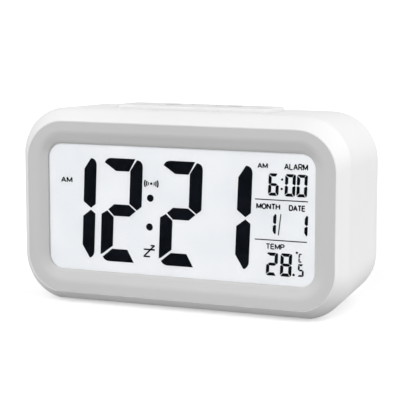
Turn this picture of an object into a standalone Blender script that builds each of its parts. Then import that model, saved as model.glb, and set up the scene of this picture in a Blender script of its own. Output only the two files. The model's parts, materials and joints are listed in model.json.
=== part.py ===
"""Desk alarm clock with a liquid-crystal display, built from its separate pieces.

Sizes are in millimetres in the case's own frame: x to the right, y from the face of the bezel to the
back, z up, with x = z = 0 at the middle of the bezel. The case frame leans back on the flat underside,
and the whole model is set down with the feet on z = 0 and its box centred on the origin.
"""

import math

import bmesh
import bpy
from mathutils import Vector

MM = 0.001

# Case outline: half width, top, bottom and corner radius at the ridge and at the rear
DEPTH = 45.0
RIDGE_Y = 5.5
RIDGE = (67.5, 38.42, -37.45, 18.5)
REAR_Y = 42.0
REAR = (66.9, 37.32, -35.2, 18.6)
REAR_ROUND = DEPTH - REAR_Y
LEAN = math.atan((REAR[2] - RIDGE[2]) / (REAR_Y - RIDGE_Y))
TOP_SLOPE = math.atan((RIDGE[1] - REAR[1]) / (REAR_Y - RIDGE_Y))
WALL = 2.0
PART_LINE = 6.5
GAP = 0.3
CORNER_STEPS = 5

# Bezel: half width, half height and corner radius of each edge
BEZEL_OUTER = (63.04, 33.3, 15.0)
BEZEL_CREASE = (58.84, 29.1, 10.8)
WINDOW = (54.3, 24.55, 5.5)
WINDOW_Y = 1.3
BEZEL_BACK = 1.75

# Display stack
LENS = (56.6, 26.9, 3.0)
LENS_Y = (2.05, 3.05)
LIP_OPENING = (57.2, 27.5, 3.3)
LIP_Y = (2.05, 3.9)
PANEL_X, PANEL_TOP, PANEL_BOTTOM = 56.2, 25.9, -25.2
PANEL_Y = (3.4, 5.4)
GUIDE_X, GUIDE_TOP, GUIDE_BOTTOM = 53.5, 25.5, -22.8
GUIDE_Y = (6.4, 9.4)
REFLECTOR_Y = (9.7, 10.1)
CARRIER = (59.5, 27.2, -26.5)
CARRIER_Y = (4.2, 12.0)
LAMP_Y = (6.9, 8.9)

# Main board and what is soldered to it
BOARD_X, BOARD_TOP, BOARD_BOTTOM = 59.5, 26.2, -25.3
BOARD_Y = (12.3, 13.9)
PARTS_Y = BOARD_Y[1] + GAP
BOARD_SCREW_X, BOARD_SCREW_Z = 58.0, 6.0

# Housing screws, from the back into the front frame
SCREW_X, SCREW_TOP, SCREW_BOTTOM = 46.0, 30.8, -29.8
BOSS_RADIUS, BOSS_END = 2.9, 8.6
POST_RADIUS, POST_START = 3.3, 8.9
SCREW_SEAT = 13.6

# Rear controls: a row of buttons and a slide switch on one board
BUTTON_NAMES = ("mode", "set", "up", "down", "alarm")
BUTTON_FIRST, BUTTON_PITCH, BUTTON_Z = -36.0, 14.0, 19.5
BUTTON_RADIUS, BUTTON_PROUD = 3.2, 1.2
KEY_BOARD_X, KEY_BOARD_Z, KEY_BOARD_Y = (-43.0, 50.0), (12.5, 26.5), (35.6, 37.2)
KEY_Y = KEY_BOARD_Y[1] + GAP
KEY_HEIGHT = 3.4
FLANGE_Y = (41.9, 42.7)
KNOB_X, KNOB_TRAVEL = 40.0, 3.0

# Snooze bar, in the frame of the sloping top: x, y along the top, z out of it
BAR_Y = 24.15
BAR_HALF_X, BAR_HALF_Y, BAR_RADIUS, BAR_PROUD = 31.85, 10.6, 3.0, 1.5
BAR_WALL = 1.5

# Battery bay and door
BAY_X, BAY_TOP, BAY_BOTTOM, BAY_FLOOR = 26.2, 2.9, -30.6, 30.5
DOOR_X, DOOR_TOP, DOOR_BOTTOM, DOOR_Y = 27.3, 3.3, -30.7, 43.0
HOOK_X = 12.0
TONGUE_X, TONGUE_TOP = 5.0, 6.5
CELL_RADIUS, CELL_HALF, CELL_Y = 5.25, 22.25, 36.05
CELL_Z = {"cell_bottom": -25.0, "cell_middle": -13.9, "cell_top": -2.8}

# Feet, in the frame of the underside
FOOT_X, FOOT_Y = 42.0, (12.0, 36.5)
FOOT_RADIUS, FOOT_PROUD, FOOT_INSET = 4.0, 0.8, 0.6

AXES = {
    "x": (Vector((1, 0, 0)), Vector((0, 1, 0)), Vector((0, 0, 1))),
    "y": (Vector((0, 1, 0)), Vector((0, 0, 1)), Vector((1, 0, 0))),
    "z": (Vector((0, 0, 1)), Vector((1, 0, 0)), Vector((0, 1, 0))),
}


# ---- outlines ----------------------------------------------------------------------------------


def rounded(half_width, top, bottom, radius, y, steps=CORNER_STEPS):
    """A rounded rectangle in the plane of one y, anticlockwise from the right-hand side."""
    points = []
    inner = half_width - radius
    corners = (
        (inner, top - radius, 0),
        (-inner, top - radius, 90),
        (-inner, bottom + radius, 180),
        (inner, bottom + radius, 270),
    )
    for x, z, start in corners:
        for step in range(steps + 1):
            angle = math.radians(start + 90 * step / steps)
            points.append(Vector((x + radius * math.cos(angle), y, z + radius * math.sin(angle))))
    return points


def even(size, y, grow=0.0, steps=CORNER_STEPS):
    """A rounded rectangle that is as tall above the middle as below it, grown all round."""
    half_width, half_height, radius = size
    return rounded(half_width + grow, half_height + grow, -half_height - grow, radius + grow, y, steps)


def case_loop(size, y, inset=0.0):
    """The case's outline at one depth, moved in by an inset."""
    half_width, top, bottom, radius = size
    return rounded(half_width - inset, top - inset, bottom + inset, radius - inset, y)


def case_size(y):
    """Half width, top, bottom and corner radius of the straight stretch of the case at one depth."""
    share = (y - RIDGE_Y) / (REAR_Y - RIDGE_Y)
    return tuple(a + (b - a) * share for a, b in zip(RIDGE, REAR))


def circle(centre, axis, radius, along, sides):
    forward, side, up = AXES[axis]
    points = []
    for step in range(sides):
        angle = 2 * math.pi * step / sides
        ray = side * math.cos(angle) + up * math.sin(angle)
        points.append(Vector(centre) + forward * along + ray * radius)
    return points


def bar_loop(z, grow=0.0):
    """The snooze bar's outline in the plane of one z of the top's frame, grown all round."""
    radius = max(BAR_RADIUS + grow, 0.5)
    loop = rounded(BAR_HALF_X + grow, BAR_HALF_Y + grow, -BAR_HALF_Y - grow, radius, 0.0)
    return [Vector((point.x, point.z, z)) for point in loop]


# ---- meshes ------------------------------------------------------------------------------------


def loft(loops, ring=False):
    """A closed mesh through loops of points. A ring joins its last loop to its first, others get caps."""
    mesh = bmesh.new()
    rows = [[mesh.verts.new(point) for point in loop] for loop in loops]
    pairs = list(zip(rows, rows[1:]))
    if ring:
        pairs.append((rows[-1], rows[0]))
    else:
        mesh.faces.new(rows[0])
        mesh.faces.new(rows[-1])
    for first, second in pairs:
        for i in range(len(first)):
            j = (i + 1) % len(first)
            mesh.faces.new((first[i], first[j], second[j], second[i]))
    bmesh.ops.recalc_face_normals(mesh, faces=mesh.faces)
    return mesh


def turned(centre, axis, profile, sides=12):
    """A turned solid: its profile is a list of (distance along the axis, radius)."""
    return loft([circle(centre, axis, radius, along, sides) for along, radius in profile])


def block(x, y, z):
    """A box from its three (low, high) spans."""
    corners = [Vector((a, b, 0)) for a, b in ((x[0], y[0]), (x[1], y[0]), (x[1], y[1]), (x[0], y[1]))]
    return loft([[c + Vector((0, 0, height)) for c in corners] for height in z])


def slab(size, y, steps=CORNER_STEPS):
    """A flat plate with rounded corners between two depths."""
    return loft([even(size, depth, 0.0, steps) for depth in y])


def extruded(outline, x):
    """An outline of (y, z) points drawn out along x."""
    return loft([[Vector((end, y, z)) for y, z in outline] for end in x])


def together(meshes):
    """One mesh from several that don't touch each other."""
    whole = bmesh.new()
    for mesh in meshes:
        copies = {vert: whole.verts.new(vert.co) for vert in mesh.verts}
        for face in mesh.faces:
            whole.faces.new([copies[vert] for vert in face.verts])
        mesh.free()
    return whole


def material(name, colour, roughness, metallic=0.0):
    made = bpy.data.materials.new(name)
    made.use_nodes = True
    shader = made.node_tree.nodes["Principled BSDF"]
    shader.inputs["Base Color"].default_value = (*colour, 1.0)
    shader.inputs["Roughness"].default_value = roughness
    shader.inputs["Metallic"].default_value = metallic
    made.diffuse_color = (*colour, 1.0)
    return made


def empty(name, parent=None, location=(0, 0, 0), tilt=0.0):
    """A frame to build in: its place in its parent's frame, and its turn about x."""
    made = bpy.data.objects.new(name, None)
    bpy.context.scene.collection.objects.link(made)
    made.parent = parent
    made.location = Vector(location) * MM
    made.rotation_euler = (tilt, 0, 0)
    return made


def place(name, mesh, look, parent, origin=(0, 0, 0), sharp=35):
    """An object from a mesh in its parent's frame, with its own origin at the given point."""
    data = bpy.data.meshes.new(name)
    for vert in mesh.verts:
        vert.co = (vert.co - Vector(origin)) * MM
    mesh.to_mesh(data)
    mesh.free()
    data.shade_smooth()
    data.set_sharp_from_angle(angle=math.radians(sharp))
    if look is not None:
        data.materials.append(look)
    made = bpy.data.objects.new(name, data)
    bpy.context.scene.collection.objects.link(made)
    made.parent = parent
    made.location = Vector(origin) * MM
    return made


def tool(name, mesh, parent):
    """A hidden shape for a Boolean."""
    made = place(name, mesh, None, parent)
    made.hide_render = True
    made.display_type = "WIRE"
    return made


def boolean(target, operation, name, mesh, parent=None):
    modifier = target.modifiers.new(name, "BOOLEAN")
    modifier.operation = operation
    modifier.solver = "EXACT"
    modifier.object = tool(f"{target.name}_{name}", mesh, parent or target.parent)


def screw_places():
    return [(x, z) for z in (SCREW_TOP, SCREW_BOTTOM) for x in (-SCREW_X, SCREW_X)]


# ---- front -------------------------------------------------------------------------------------


def build_front(case, looks):
    bezel = [
        even(BEZEL_OUTER, 0.3),
        even(BEZEL_OUTER, 0.0, -0.3),
        even(BEZEL_CREASE, 0.0),
        even(WINDOW, WINDOW_Y),
        even(WINDOW, BEZEL_BACK),
        even(BEZEL_OUTER, BEZEL_BACK),
    ]
    place("bezel", loft(bezel, ring=True), looks["bezel_grey"], case)
    place("display_lens", slab(LENS, LENS_Y), looks["clear_lens"], case)

    frame = [
        even(BEZEL_OUTER, 0.25, GAP),
        rounded(63.75, 34.05, -33.98, 15.6, 0.0),
        rounded(67.0, 37.9, -36.95, 18.1, 4.6),
        case_loop(RIDGE, RIDGE_Y),
        case_loop(RIDGE, PART_LINE),
        case_loop(RIDGE, PART_LINE, 1.9),
        case_loop(RIDGE, 4.9, 2.3),
        rounded(63.9, 34.2, -33.8, 15.2, LIP_Y[1]),
        even(LIP_OPENING, LIP_Y[1]),
        even(LIP_OPENING, LIP_Y[0]),
        even(BEZEL_OUTER, LIP_Y[0], GAP),
    ]
    front = place("front_frame", loft(frame, ring=True), looks["case_white"], case)
    boss = ((3.0, BOSS_RADIUS), (BOSS_END, BOSS_RADIUS))
    hole = ((4.7, 1.35), (BOSS_END + 1, 1.35))
    bosses = [turned((x, 0, z), "y", boss) for x, z in screw_places()]
    holes = [turned((x, 0, z), "y", hole, 8) for x, z in screw_places()]
    boolean(front, "UNION", "bosses", together(bosses))
    boolean(front, "DIFFERENCE", "screw_holes", together(holes))


def build_display(case, looks):
    panel = block((-PANEL_X, PANEL_X), PANEL_Y, (PANEL_BOTTOM, PANEL_TOP))
    place("lcd_panel", panel, looks["display_glass"], case)
    guide = block((-GUIDE_X, GUIDE_X), GUIDE_Y, (GUIDE_BOTTOM, GUIDE_TOP))
    place("light_guide", guide, looks["acrylic"], case)
    sheet = block((-GUIDE_X, GUIDE_X), REFLECTOR_Y, (GUIDE_BOTTOM, GUIDE_TOP))
    place("reflector_sheet", sheet, looks["white_film"], case)
    for side, name in ((-1, "left"), (1, "right")):
        span = sorted((side * (GUIDE_X + GAP), side * (GUIDE_X + 2.5)))
        lamp = block(span, LAMP_Y, (-1.8, 1.8))
        place(f"backlight_lamp_{name}", lamp, looks["lamp_yellow"], case)
    strip = block((-45, 45), (PANEL_Y[1] + GAP, BOARD_Y[0] - GAP), (PANEL_BOTTOM + 0.2, GUIDE_BOTTOM - GAP))
    place("zebra_strip", strip, looks["rubber_black"], case)

    half_width, top, bottom = CARRIER
    walls = block((-half_width, half_width), CARRIER_Y, (bottom, top))
    carrier = place("display_carrier", walls, looks["inner_white"], case)
    inside = block(
        (-PANEL_X - GAP, PANEL_X + GAP),
        (CARRIER_Y[0] - 1, CARRIER_Y[1] + 1),
        (PANEL_BOTTOM - GAP, PANEL_TOP + GAP),
    )
    boolean(carrier, "DIFFERENCE", "window", inside)
    pilots = [
        turned((side * BOARD_SCREW_X, 0, BOARD_SCREW_Z), "y", ((8.0, 0.95), (CARRIER_Y[1] + 1, 0.95)), 8)
        for side in (-1, 1)
    ]
    boolean(carrier, "DIFFERENCE", "screw_pilots", together(pilots))


# ---- boards ------------------------------------------------------------------------------------


def build_main_board(case, looks):
    outline = block((-BOARD_X, BOARD_X), BOARD_Y, (BOARD_BOTTOM, BOARD_TOP))
    board = place("main_board", outline, looks["board_green"], case)
    holes = []
    for side, name in ((-1, "left"), (1, "right")):
        centre = (side * BOARD_SCREW_X, 0, BOARD_SCREW_Z)
        holes.append(turned(centre, "y", ((BOARD_Y[0] - 1, 1.0), (BOARD_Y[1] + 1, 1.0)), 8))
        profile = ((8.4, 0.65), (PARTS_Y, 0.65), (PARTS_Y, 1.5), (PARTS_Y + 1.0, 1.3))
        place(f"board_screw_{name}", turned(centre, "y", profile, 8), looks["steel"], case)
    boolean(board, "DIFFERENCE", "screw_holes", together(holes))

    dome = ((PARTS_Y, 7.0), (PARTS_Y + 0.9, 6.6), (PARTS_Y + 1.7, 4.6), (PARTS_Y + 2.0, 2.0))
    place("controller_blob", turned((-8, 0, 6), "y", dome, 16), looks["epoxy_black"], case)
    can = turned((6, PARTS_Y + 1.0, 16), "x", ((0.0, 1.0), (6.0, 1.0)), 8)
    place("crystal", can, looks["steel"], case)
    bead = ((0.0, 0.4), (3.0, 0.4), (3.4, 1.2), (4.6, 1.2), (5.0, 0.5))
    place("thermistor", turned((53, PARTS_Y, -18), "y", bead, 8), looks["epoxy_black"], case)
    buzzer = ((PARTS_Y, 6.0), (PARTS_Y + 5.2, 6.0), (PARTS_Y + 5.2, 1.0), (PARTS_Y + 4.2, 1.0))
    place("buzzer", turned((-40, 0, -8), "y", buzzer, 16), looks["epoxy_black"], case)


def tactile_switch(name, centre, axis, side, frame, looks, sign=1):
    """A square switch body on its board with a bore for the plunger, and the plunger in it."""
    x, y, z = centre
    height, half = KEY_HEIGHT * sign, 3.0
    if axis == "y":
        body = block((x - half, x + half), (y, y + height), (z - half, z + half))
    else:
        body = block((x - half, x + half), (y - half, y + half), sorted((z, z + height)))
    made = place(f"{name}_switch", body, looks["switch_black"], frame)
    bore = turned(centre, axis, ((0.9, 1.95), (KEY_HEIGHT + 1, 1.95)), 8)
    boolean(made, "DIFFERENCE", "bore", bore)
    stem = turned(centre, axis, ((2.0, 1.6), (side, 1.6)), 8)
    return place(f"{name}_plunger", stem, looks["plunger_white"], frame, origin=centre)


def build_rear_controls(case, looks):
    board = block(KEY_BOARD_X, KEY_BOARD_Y, KEY_BOARD_Z)
    place("key_board", board, looks["board_green"], case)
    for number, name in enumerate(BUTTON_NAMES):
        x = BUTTON_FIRST + BUTTON_PITCH * number
        stem_end = FLANGE_Y[0] - GAP - KEY_Y
        tactile_switch(f"key_{name}", (x, KEY_Y, BUTTON_Z), "y", stem_end, case, looks)
        top = DEPTH + BUTTON_PROUD
        profile = (
            (FLANGE_Y[0], BUTTON_RADIUS + 1.1),
            (FLANGE_Y[1], BUTTON_RADIUS + 1.1),
            (FLANGE_Y[1], BUTTON_RADIUS),
            (top - 0.5, BUTTON_RADIUS),
            (top, BUTTON_RADIUS - 0.5),
        )
        cap = turned((x, 0, BUTTON_Z), "y", profile, 16)
        place(f"button_{name}", cap, looks["button_white"], case, origin=(x, DEPTH, BUTTON_Z))

    switch_top = KEY_Y + KEY_HEIGHT
    body = block((KNOB_X - 4.5, KNOB_X + 4.5), (KEY_Y, switch_top), (BUTTON_Z - 2.4, BUTTON_Z + 2.4))
    switch = place("slide_switch", body, looks["switch_black"], case)
    slot = block(
        (KNOB_X - 2.9, KNOB_X + 2.9),
        (KEY_Y + 1.2, switch_top + 1),
        (BUTTON_Z - 1.2, BUTTON_Z + 1.2),
    )
    boolean(switch, "DIFFERENCE", "slot", slot)

    left = KNOB_X - KNOB_TRAVEL / 2
    flange_start, flange_end = FLANGE_Y
    sections = (
        (KEY_Y + 1.8, 0.9, 0.9),
        (flange_start, 0.9, 0.9),
        (flange_start, 5.5, 2.5),
        (flange_end, 5.5, 2.5),
        (flange_end, 2.2, 1.35),
        (DEPTH + 0.8, 2.2, 1.35),
        (DEPTH + 1.1, 1.9, 1.05),
    )
    corners = ((1, -1), (1, 1), (-1, 1), (-1, -1))
    loops = [
        [Vector((left + dx * half_x, y, BUTTON_Z + dz * half_z)) for dx, dz in corners]
        for y, half_x, half_z in sections
    ]
    place("light_switch_knob", loft(loops), looks["switch_black"], case, origin=(left, DEPTH, BUTTON_Z))


# ---- rear housing ------------------------------------------------------------------------------


def build_rear_housing(case, top_frame, under_frame, looks):
    front = PART_LINE + GAP
    rounding = [
        case_loop(REAR, REAR_Y + REAR_ROUND * math.sin(turn), REAR_ROUND * (1 - math.cos(turn)))
        for turn in (math.pi / 6, math.pi / 3, math.pi / 2)
    ]
    cup = [
        case_loop(REAR, DEPTH - WALL, 3.0),
        case_loop(REAR, REAR_Y, WALL),
        case_loop(case_size(front), front, WALL),
        case_loop(case_size(front), front),
        case_loop(REAR, REAR_Y),
        *rounding,
    ]
    housing = place("rear_housing", loft(cup), looks["case_white"], case)

    bay = block((-BAY_X - 2.4, BAY_X + 2.4), (BAY_FLOOR - 1.5, DEPTH - 1.5), (-34.0, BAY_TOP + 2.0))
    boolean(housing, "UNION", "bay", bay)
    post = ((POST_START, POST_RADIUS), (DEPTH - 1, POST_RADIUS))
    posts = [turned((x, 0, z), "y", post) for x, z in screw_places()]
    boolean(housing, "UNION", "posts", together(posts))
    rib_starts = (KEY_BOARD_X[0] - 1.9, KEY_BOARD_X[1] + 0.3)
    ribs = [block((x, x + 1.6), (33.0, DEPTH - 1), (11.0, 24.0)) for x in rib_starts]
    boolean(housing, "UNION", "key_ribs", together(ribs))

    cells = block((-BAY_X, BAY_X), (BAY_FLOOR, DEPTH - 1.4), (BAY_BOTTOM, BAY_TOP))
    boolean(housing, "DIFFERENCE", "bay_hollow", cells)
    opening = block(
        (-DOOR_X - GAP, DOOR_X + GAP),
        (DOOR_Y - GAP, DEPTH + 1),
        (DOOR_BOTTOM - GAP, DOOR_TOP + GAP),
    )
    boolean(housing, "DIFFERENCE", "door_opening", opening)
    pockets = [
        block((side * HOOK_X - 2.3, side * HOOK_X + 2.3), (40.9, DOOR_Y), (-32.9, BAY_BOTTOM + 1))
        for side in (-1, 1)
    ]
    finger = block((-TONGUE_X - 1, TONGUE_X + 1), (43.8, DEPTH + 1), (DOOR_TOP, TONGUE_TOP + 1.6))
    boolean(housing, "DIFFERENCE", "hook_pockets", together(pockets))
    boolean(housing, "DIFFERENCE", "finger_recess", finger)

    bore = ((POST_START - 1, 1.4), (SCREW_SEAT, 1.4), (SCREW_SEAT, 2.35), (DEPTH + 1, 2.35))
    bores = [turned((x, 0, z), "y", bore) for x, z in screw_places()]
    button_bore = ((41.0, BUTTON_RADIUS + GAP), (DEPTH + 1, BUTTON_RADIUS + GAP))
    buttons = [
        turned((BUTTON_FIRST + BUTTON_PITCH * number, 0, BUTTON_Z), "y", button_bore, 16)
        for number in range(len(BUTTON_NAMES))
    ]
    knob_half = 2.2 + KNOB_TRAVEL / 2 + GAP
    knob_slot = block(
        (KNOB_X - knob_half, KNOB_X + knob_half),
        (41.0, DEPTH + 1),
        (BUTTON_Z - 1.65, BUTTON_Z + 1.65),
    )
    sound = [block((-48, -36), (41.0, DEPTH + 1), (z - 0.6, z + 0.6)) for z in (-14, -11, -8, -5, -2)]
    boolean(housing, "DIFFERENCE", "back_holes", together([*bores, *buttons, knob_slot, *sound]))

    bar_hole = loft([bar_loop(z, GAP) for z in (-4.0, 2.0)])
    boolean(housing, "DIFFERENCE", "bar_hole", bar_hole, top_frame)
    recesses = [
        turned((x, y, 0), "z", ((-1.0, FOOT_RADIUS + GAP), (FOOT_INSET + GAP, FOOT_RADIUS + GAP)), 16)
        for x in (-FOOT_X, FOOT_X)
        for y in FOOT_Y
    ]
    boolean(housing, "DIFFERENCE", "foot_recesses", together(recesses), under_frame)


def build_fasteners(case, looks):
    corner = {(-SCREW_X, SCREW_TOP): "top_left", (SCREW_X, SCREW_TOP): "top_right"}
    corner |= {(-SCREW_X, SCREW_BOTTOM): "bottom_left", (SCREW_X, SCREW_BOTTOM): "bottom_right"}
    head = SCREW_SEAT + GAP
    profile = ((5.0, 0.7), (5.8, 1.05), (head, 1.05), (head, 1.95), (head + 1.5, 1.6))
    for (x, z), name in corner.items():
        place(f"housing_screw_{name}", turned((x, 0, z), "y", profile), looks["steel"], case)


def build_feet(under_frame, looks):
    for x, side in ((-FOOT_X, "left"), (FOOT_X, "right")):
        for y, end in zip(FOOT_Y, ("front", "rear")):
            profile = ((-FOOT_PROUD, FOOT_RADIUS), (FOOT_INSET, FOOT_RADIUS))
            foot = turned((x, y, 0), "z", profile, 16)
            place(f"foot_{end}_{side}", foot, looks["foot_rubber"], under_frame)


# ---- snooze bar --------------------------------------------------------------------------------


def build_snooze(top_frame, looks):
    under = -WALL - GAP
    bar = [
        bar_loop(0.0, -BAR_WALL),
        bar_loop(under - 0.9, -BAR_WALL),
        bar_loop(under - 0.9, 1.2),
        bar_loop(under, 1.2),
        bar_loop(under),
        bar_loop(BAR_PROUD - 0.5),
        bar_loop(BAR_PROUD - 0.2, -0.15),
        bar_loop(BAR_PROUD, -0.5),
    ]
    made = place("snooze_bar", loft(bar), looks["case_white"], top_frame)
    push = turned((0, 0, 0), "z", ((-5.0, 2.2), (1.0, 2.2)))
    boolean(made, "UNION", "push_pin", push)

    switch_top = -5.0 - GAP
    base = switch_top - 0.7 - KEY_HEIGHT
    tactile_switch("snooze", (0, 0, base), "z", switch_top - base, top_frame, looks)
    board = block((-12, 12), (-6, 6), (base - GAP - 1.6, base - GAP))
    place("snooze_board", board, looks["board_green"], top_frame)


# ---- batteries ---------------------------------------------------------------------------------


def build_door(case, looks):
    origin = (0, DEPTH, DOOR_BOTTOM)
    panel = block((-DOOR_X, DOOR_X), (DOOR_Y, DEPTH), (DOOR_BOTTOM, DOOR_TOP))
    door = place("battery_door", panel, looks["case_white"], case, origin=origin)
    hook = ((43.4, -30.3), (43.4, -27.5), (41.6, -27.5), (41.6, -32.4), (42.7, -32.4), (42.7, -30.3))
    hooks = [extruded(hook, (side * HOOK_X - 2, side * HOOK_X + 2)) for side in (-1, 1)]
    boolean(door, "UNION", "hooks", together(hooks))
    tongue = block((-TONGUE_X, TONGUE_X), (44.1, DEPTH), (DOOR_TOP - 2, TONGUE_TOP))
    boolean(door, "UNION", "tongue", tongue)


def build_cells(case, looks):
    for number, (name, z) in enumerate(CELL_Z.items()):
        way = 1 if number % 2 == 0 else -1
        shoulder = CELL_HALF - 1.2
        profile = ((-CELL_HALF, CELL_RADIUS), (shoulder, CELL_RADIUS), (shoulder, 1.9), (CELL_HALF, 1.9))
        turned_profile = [(way * along, radius) for along, radius in profile]
        cell = turned((0, CELL_Y, z), "x", turned_profile, 16)
        place(name, cell, looks["cell_sleeve"], case)


def contact(name, side, heights, case, looks):
    """A sprung or dimpled plate at one end of the bay: heights maps a cell's height to its boss radii."""
    low, high = min(heights) - 3.6, max(heights) + 3.6
    plate = block(sorted((side * 25.9, side * 25.45)), (32.4, 39.6), (low, high))
    made = place(name, plate, looks["nickel"], case)
    bosses = []
    for z, (base, tip) in heights.items():
        profile = ((side * 25.7, base), (side * (CELL_HALF + GAP), tip))
        bosses.append(turned((0, CELL_Y, z), "x", profile))
    boolean(made, "UNION", "bosses", together(bosses))


def build_contacts(case, looks):
    spring, dimple = (3.2, 2.2), (2.0, 1.7)
    low, middle, high = CELL_Z.values()
    contact("contact_positive", 1, {low: dimple}, case, looks)
    contact("contact_bridge_left", -1, {low: spring, middle: dimple}, case, looks)
    contact("contact_bridge_right", 1, {middle: spring, high: dimple}, case, looks)
    contact("contact_negative", -1, {high: spring}, case, looks)


# ---- wiring ------------------------------------------------------------------------------------


def smooth(points, samples):
    """Points along a smooth curve through the given ones."""
    points = [Vector(point) for point in points]
    padded = [2 * points[0] - points[1], *points, 2 * points[-1] - points[-2]]
    found = []
    for before, start, end, after in zip(padded, padded[1:], padded[2:], padded[3:]):
        for step in range(samples):
            t = step / samples
            found.append(
                0.5
                * (
                    2 * start
                    + (end - before) * t
                    + (2 * before - 5 * start + 4 * end - after) * t**2
                    + (3 * start - before - 3 * end + after) * t**3
                )
            )
    return [*found, points[-1]]


def lead(name, points, radius, look, case):
    line = smooth(points, 4)
    curve = bpy.data.curves.new(name, "CURVE")
    curve.dimensions = "3D"
    curve.bevel_depth = radius * MM
    curve.bevel_resolution = 2
    curve.use_fill_caps = True
    spline = curve.splines.new("POLY")
    spline.points.add(len(line) - 1)
    for point, place_on_line in zip(spline.points, line):
        point.co = (*(place_on_line * MM), 1)
    curve.materials.append(look)
    made = bpy.data.objects.new(name, curve)
    bpy.context.scene.collection.objects.link(made)
    made.parent = case


def build_wiring(case, looks):
    red = (
        (29.2, 36, -25),
        (31, 35.8, -24.6),
        (33.5, 33, -22),
        (34, 27, -18),
        (34, 21, -15),
        (34, 17, -14),
        (34, PARTS_Y, -14),
    )
    black = (
        (-29.2, 36, -2.8),
        (-31, 35.8, -3),
        (-33, 32, -5),
        (-31, 27, -9),
        (-26, 21, -13),
        (-24, 17, -14),
        (-24, PARTS_Y, -14),
    )
    grey = (
        (10, 24.5, 26.1),
        (10, 24.3, 24.2),
        (10.5, 22, 21),
        (12, 18.5, 19.8),
        (13, 16, 20),
        (13, PARTS_Y, 20),
    )
    lead("battery_lead_red", red, 0.65, looks["wire_red"], case)
    lead("battery_lead_black", black, 0.65, looks["wire_black"], case)
    lead("snooze_lead", grey, 0.65, looks["wire_grey"], case)

    half_thick, steps = 0.3, 8
    start, end, sag = PARTS_Y, KEY_BOARD_Y[0] - GAP, 3.0
    loops = []
    for step in range(steps + 1):
        share = step / steps
        y = start + (end - start) * share
        z = BUTTON_Z - 1 - sag * math.sin(math.pi * share)
        corners = ((-24, -half_thick), (-16, -half_thick), (-16, half_thick), (-24, half_thick))
        loops.append([Vector((x, y, z + dz)) for x, dz in corners])
    place("ribbon_cable", loft(loops), looks["wire_grey"], case)


# ---- the whole clock ---------------------------------------------------------------------------


def make_looks():
    return {
        "case_white": material("case_white", (0.84, 0.84, 0.84), 0.42),
        "bezel_grey": material("bezel_grey", (0.56, 0.56, 0.56), 0.5),
        "button_white": material("button_white", (0.8, 0.8, 0.8), 0.45),
        "clear_lens": material("clear_lens", (0.95, 0.96, 0.97), 0.05),
        "display_glass": material("display_glass", (0.86, 0.88, 0.9), 0.15),
        "acrylic": material("acrylic", (0.9, 0.93, 0.95), 0.1),
        "white_film": material("white_film", (0.9, 0.9, 0.9), 0.4),
        "lamp_yellow": material("lamp_yellow", (0.9, 0.8, 0.35), 0.3),
        "inner_white": material("inner_white", (0.75, 0.75, 0.73), 0.5),
        "board_green": material("board_green", (0.02, 0.16, 0.06), 0.45),
        "epoxy_black": material("epoxy_black", (0.012, 0.012, 0.013), 0.35),
        "switch_black": material("switch_black", (0.02, 0.02, 0.02), 0.5),
        "plunger_white": material("plunger_white", (0.7, 0.7, 0.68), 0.4),
        "steel": material("steel", (0.6, 0.6, 0.6), 0.3, 1.0),
        "nickel": material("nickel", (0.66, 0.63, 0.58), 0.3, 1.0),
        "cell_sleeve": material("cell_sleeve", (0.03, 0.12, 0.3), 0.3),
        "foot_rubber": material("foot_rubber", (0.5, 0.5, 0.5), 0.8),
        "rubber_black": material("rubber_black", (0.02, 0.02, 0.02), 0.8),
        "wire_red": material("wire_red", (0.55, 0.02, 0.02), 0.4),
        "wire_black": material("wire_black", (0.015, 0.015, 0.015), 0.4),
        "wire_grey": material("wire_grey", (0.4, 0.4, 0.42), 0.4),
    }


def set_down(case):
    """Moves the case so that the lowest point is at z = 0 and the box is centred over the origin."""
    bpy.context.view_layer.update()
    seen = bpy.context.evaluated_depsgraph_get()
    corners = []
    for thing in bpy.context.scene.objects:
        if thing.type in {"MESH", "CURVE"} and not thing.hide_render:
            shape = thing.evaluated_get(seen).to_mesh()
            corners += [thing.matrix_world @ vert.co for vert in shape.vertices]
    low = [min(corner[axis] for corner in corners) for axis in range(3)]
    high = [max(corner[axis] for corner in corners) for axis in range(3)]
    case.location -= Vector(((low[0] + high[0]) / 2, (low[1] + high[1]) / 2, low[2]))


def main():
    for thing in list(bpy.data.objects):
        bpy.data.objects.remove(thing, do_unlink=True)
    looks = make_looks()
    case = empty("case", tilt=-LEAN)
    bar_height = case_size(BAR_Y)[1]
    top_frame = empty("top_frame", case, (0, BAR_Y, bar_height), -TOP_SLOPE)
    under_frame = empty("under_frame", case, (0, 0, case_size(0)[2]), LEAN)

    build_front(case, looks)
    build_display(case, looks)
    build_main_board(case, looks)
    build_rear_controls(case, looks)
    build_rear_housing(case, top_frame, under_frame, looks)
    build_fasteners(case, looks)
    build_feet(under_frame, looks)
    build_snooze(top_frame, looks)
    build_door(case, looks)
    build_cells(case, looks)
    build_contacts(case, looks)
    build_wiring(case, looks)
    set_down(case)


main()
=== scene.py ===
"""Looks for the desk alarm clock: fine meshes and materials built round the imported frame.

Shapes are made in millimetres in the case's own frame (x to the right, y from the bezel's face to the
back, z up, with x = z = 0 at the middle of the bezel), and then set into the row frame, where the case
leans back on its flat underside. Each piece stands in the place of a CAD node and rides on its body.
"""

import json
import math

import bmesh
import bpy
from mathutils import Matrix, Vector

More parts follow.
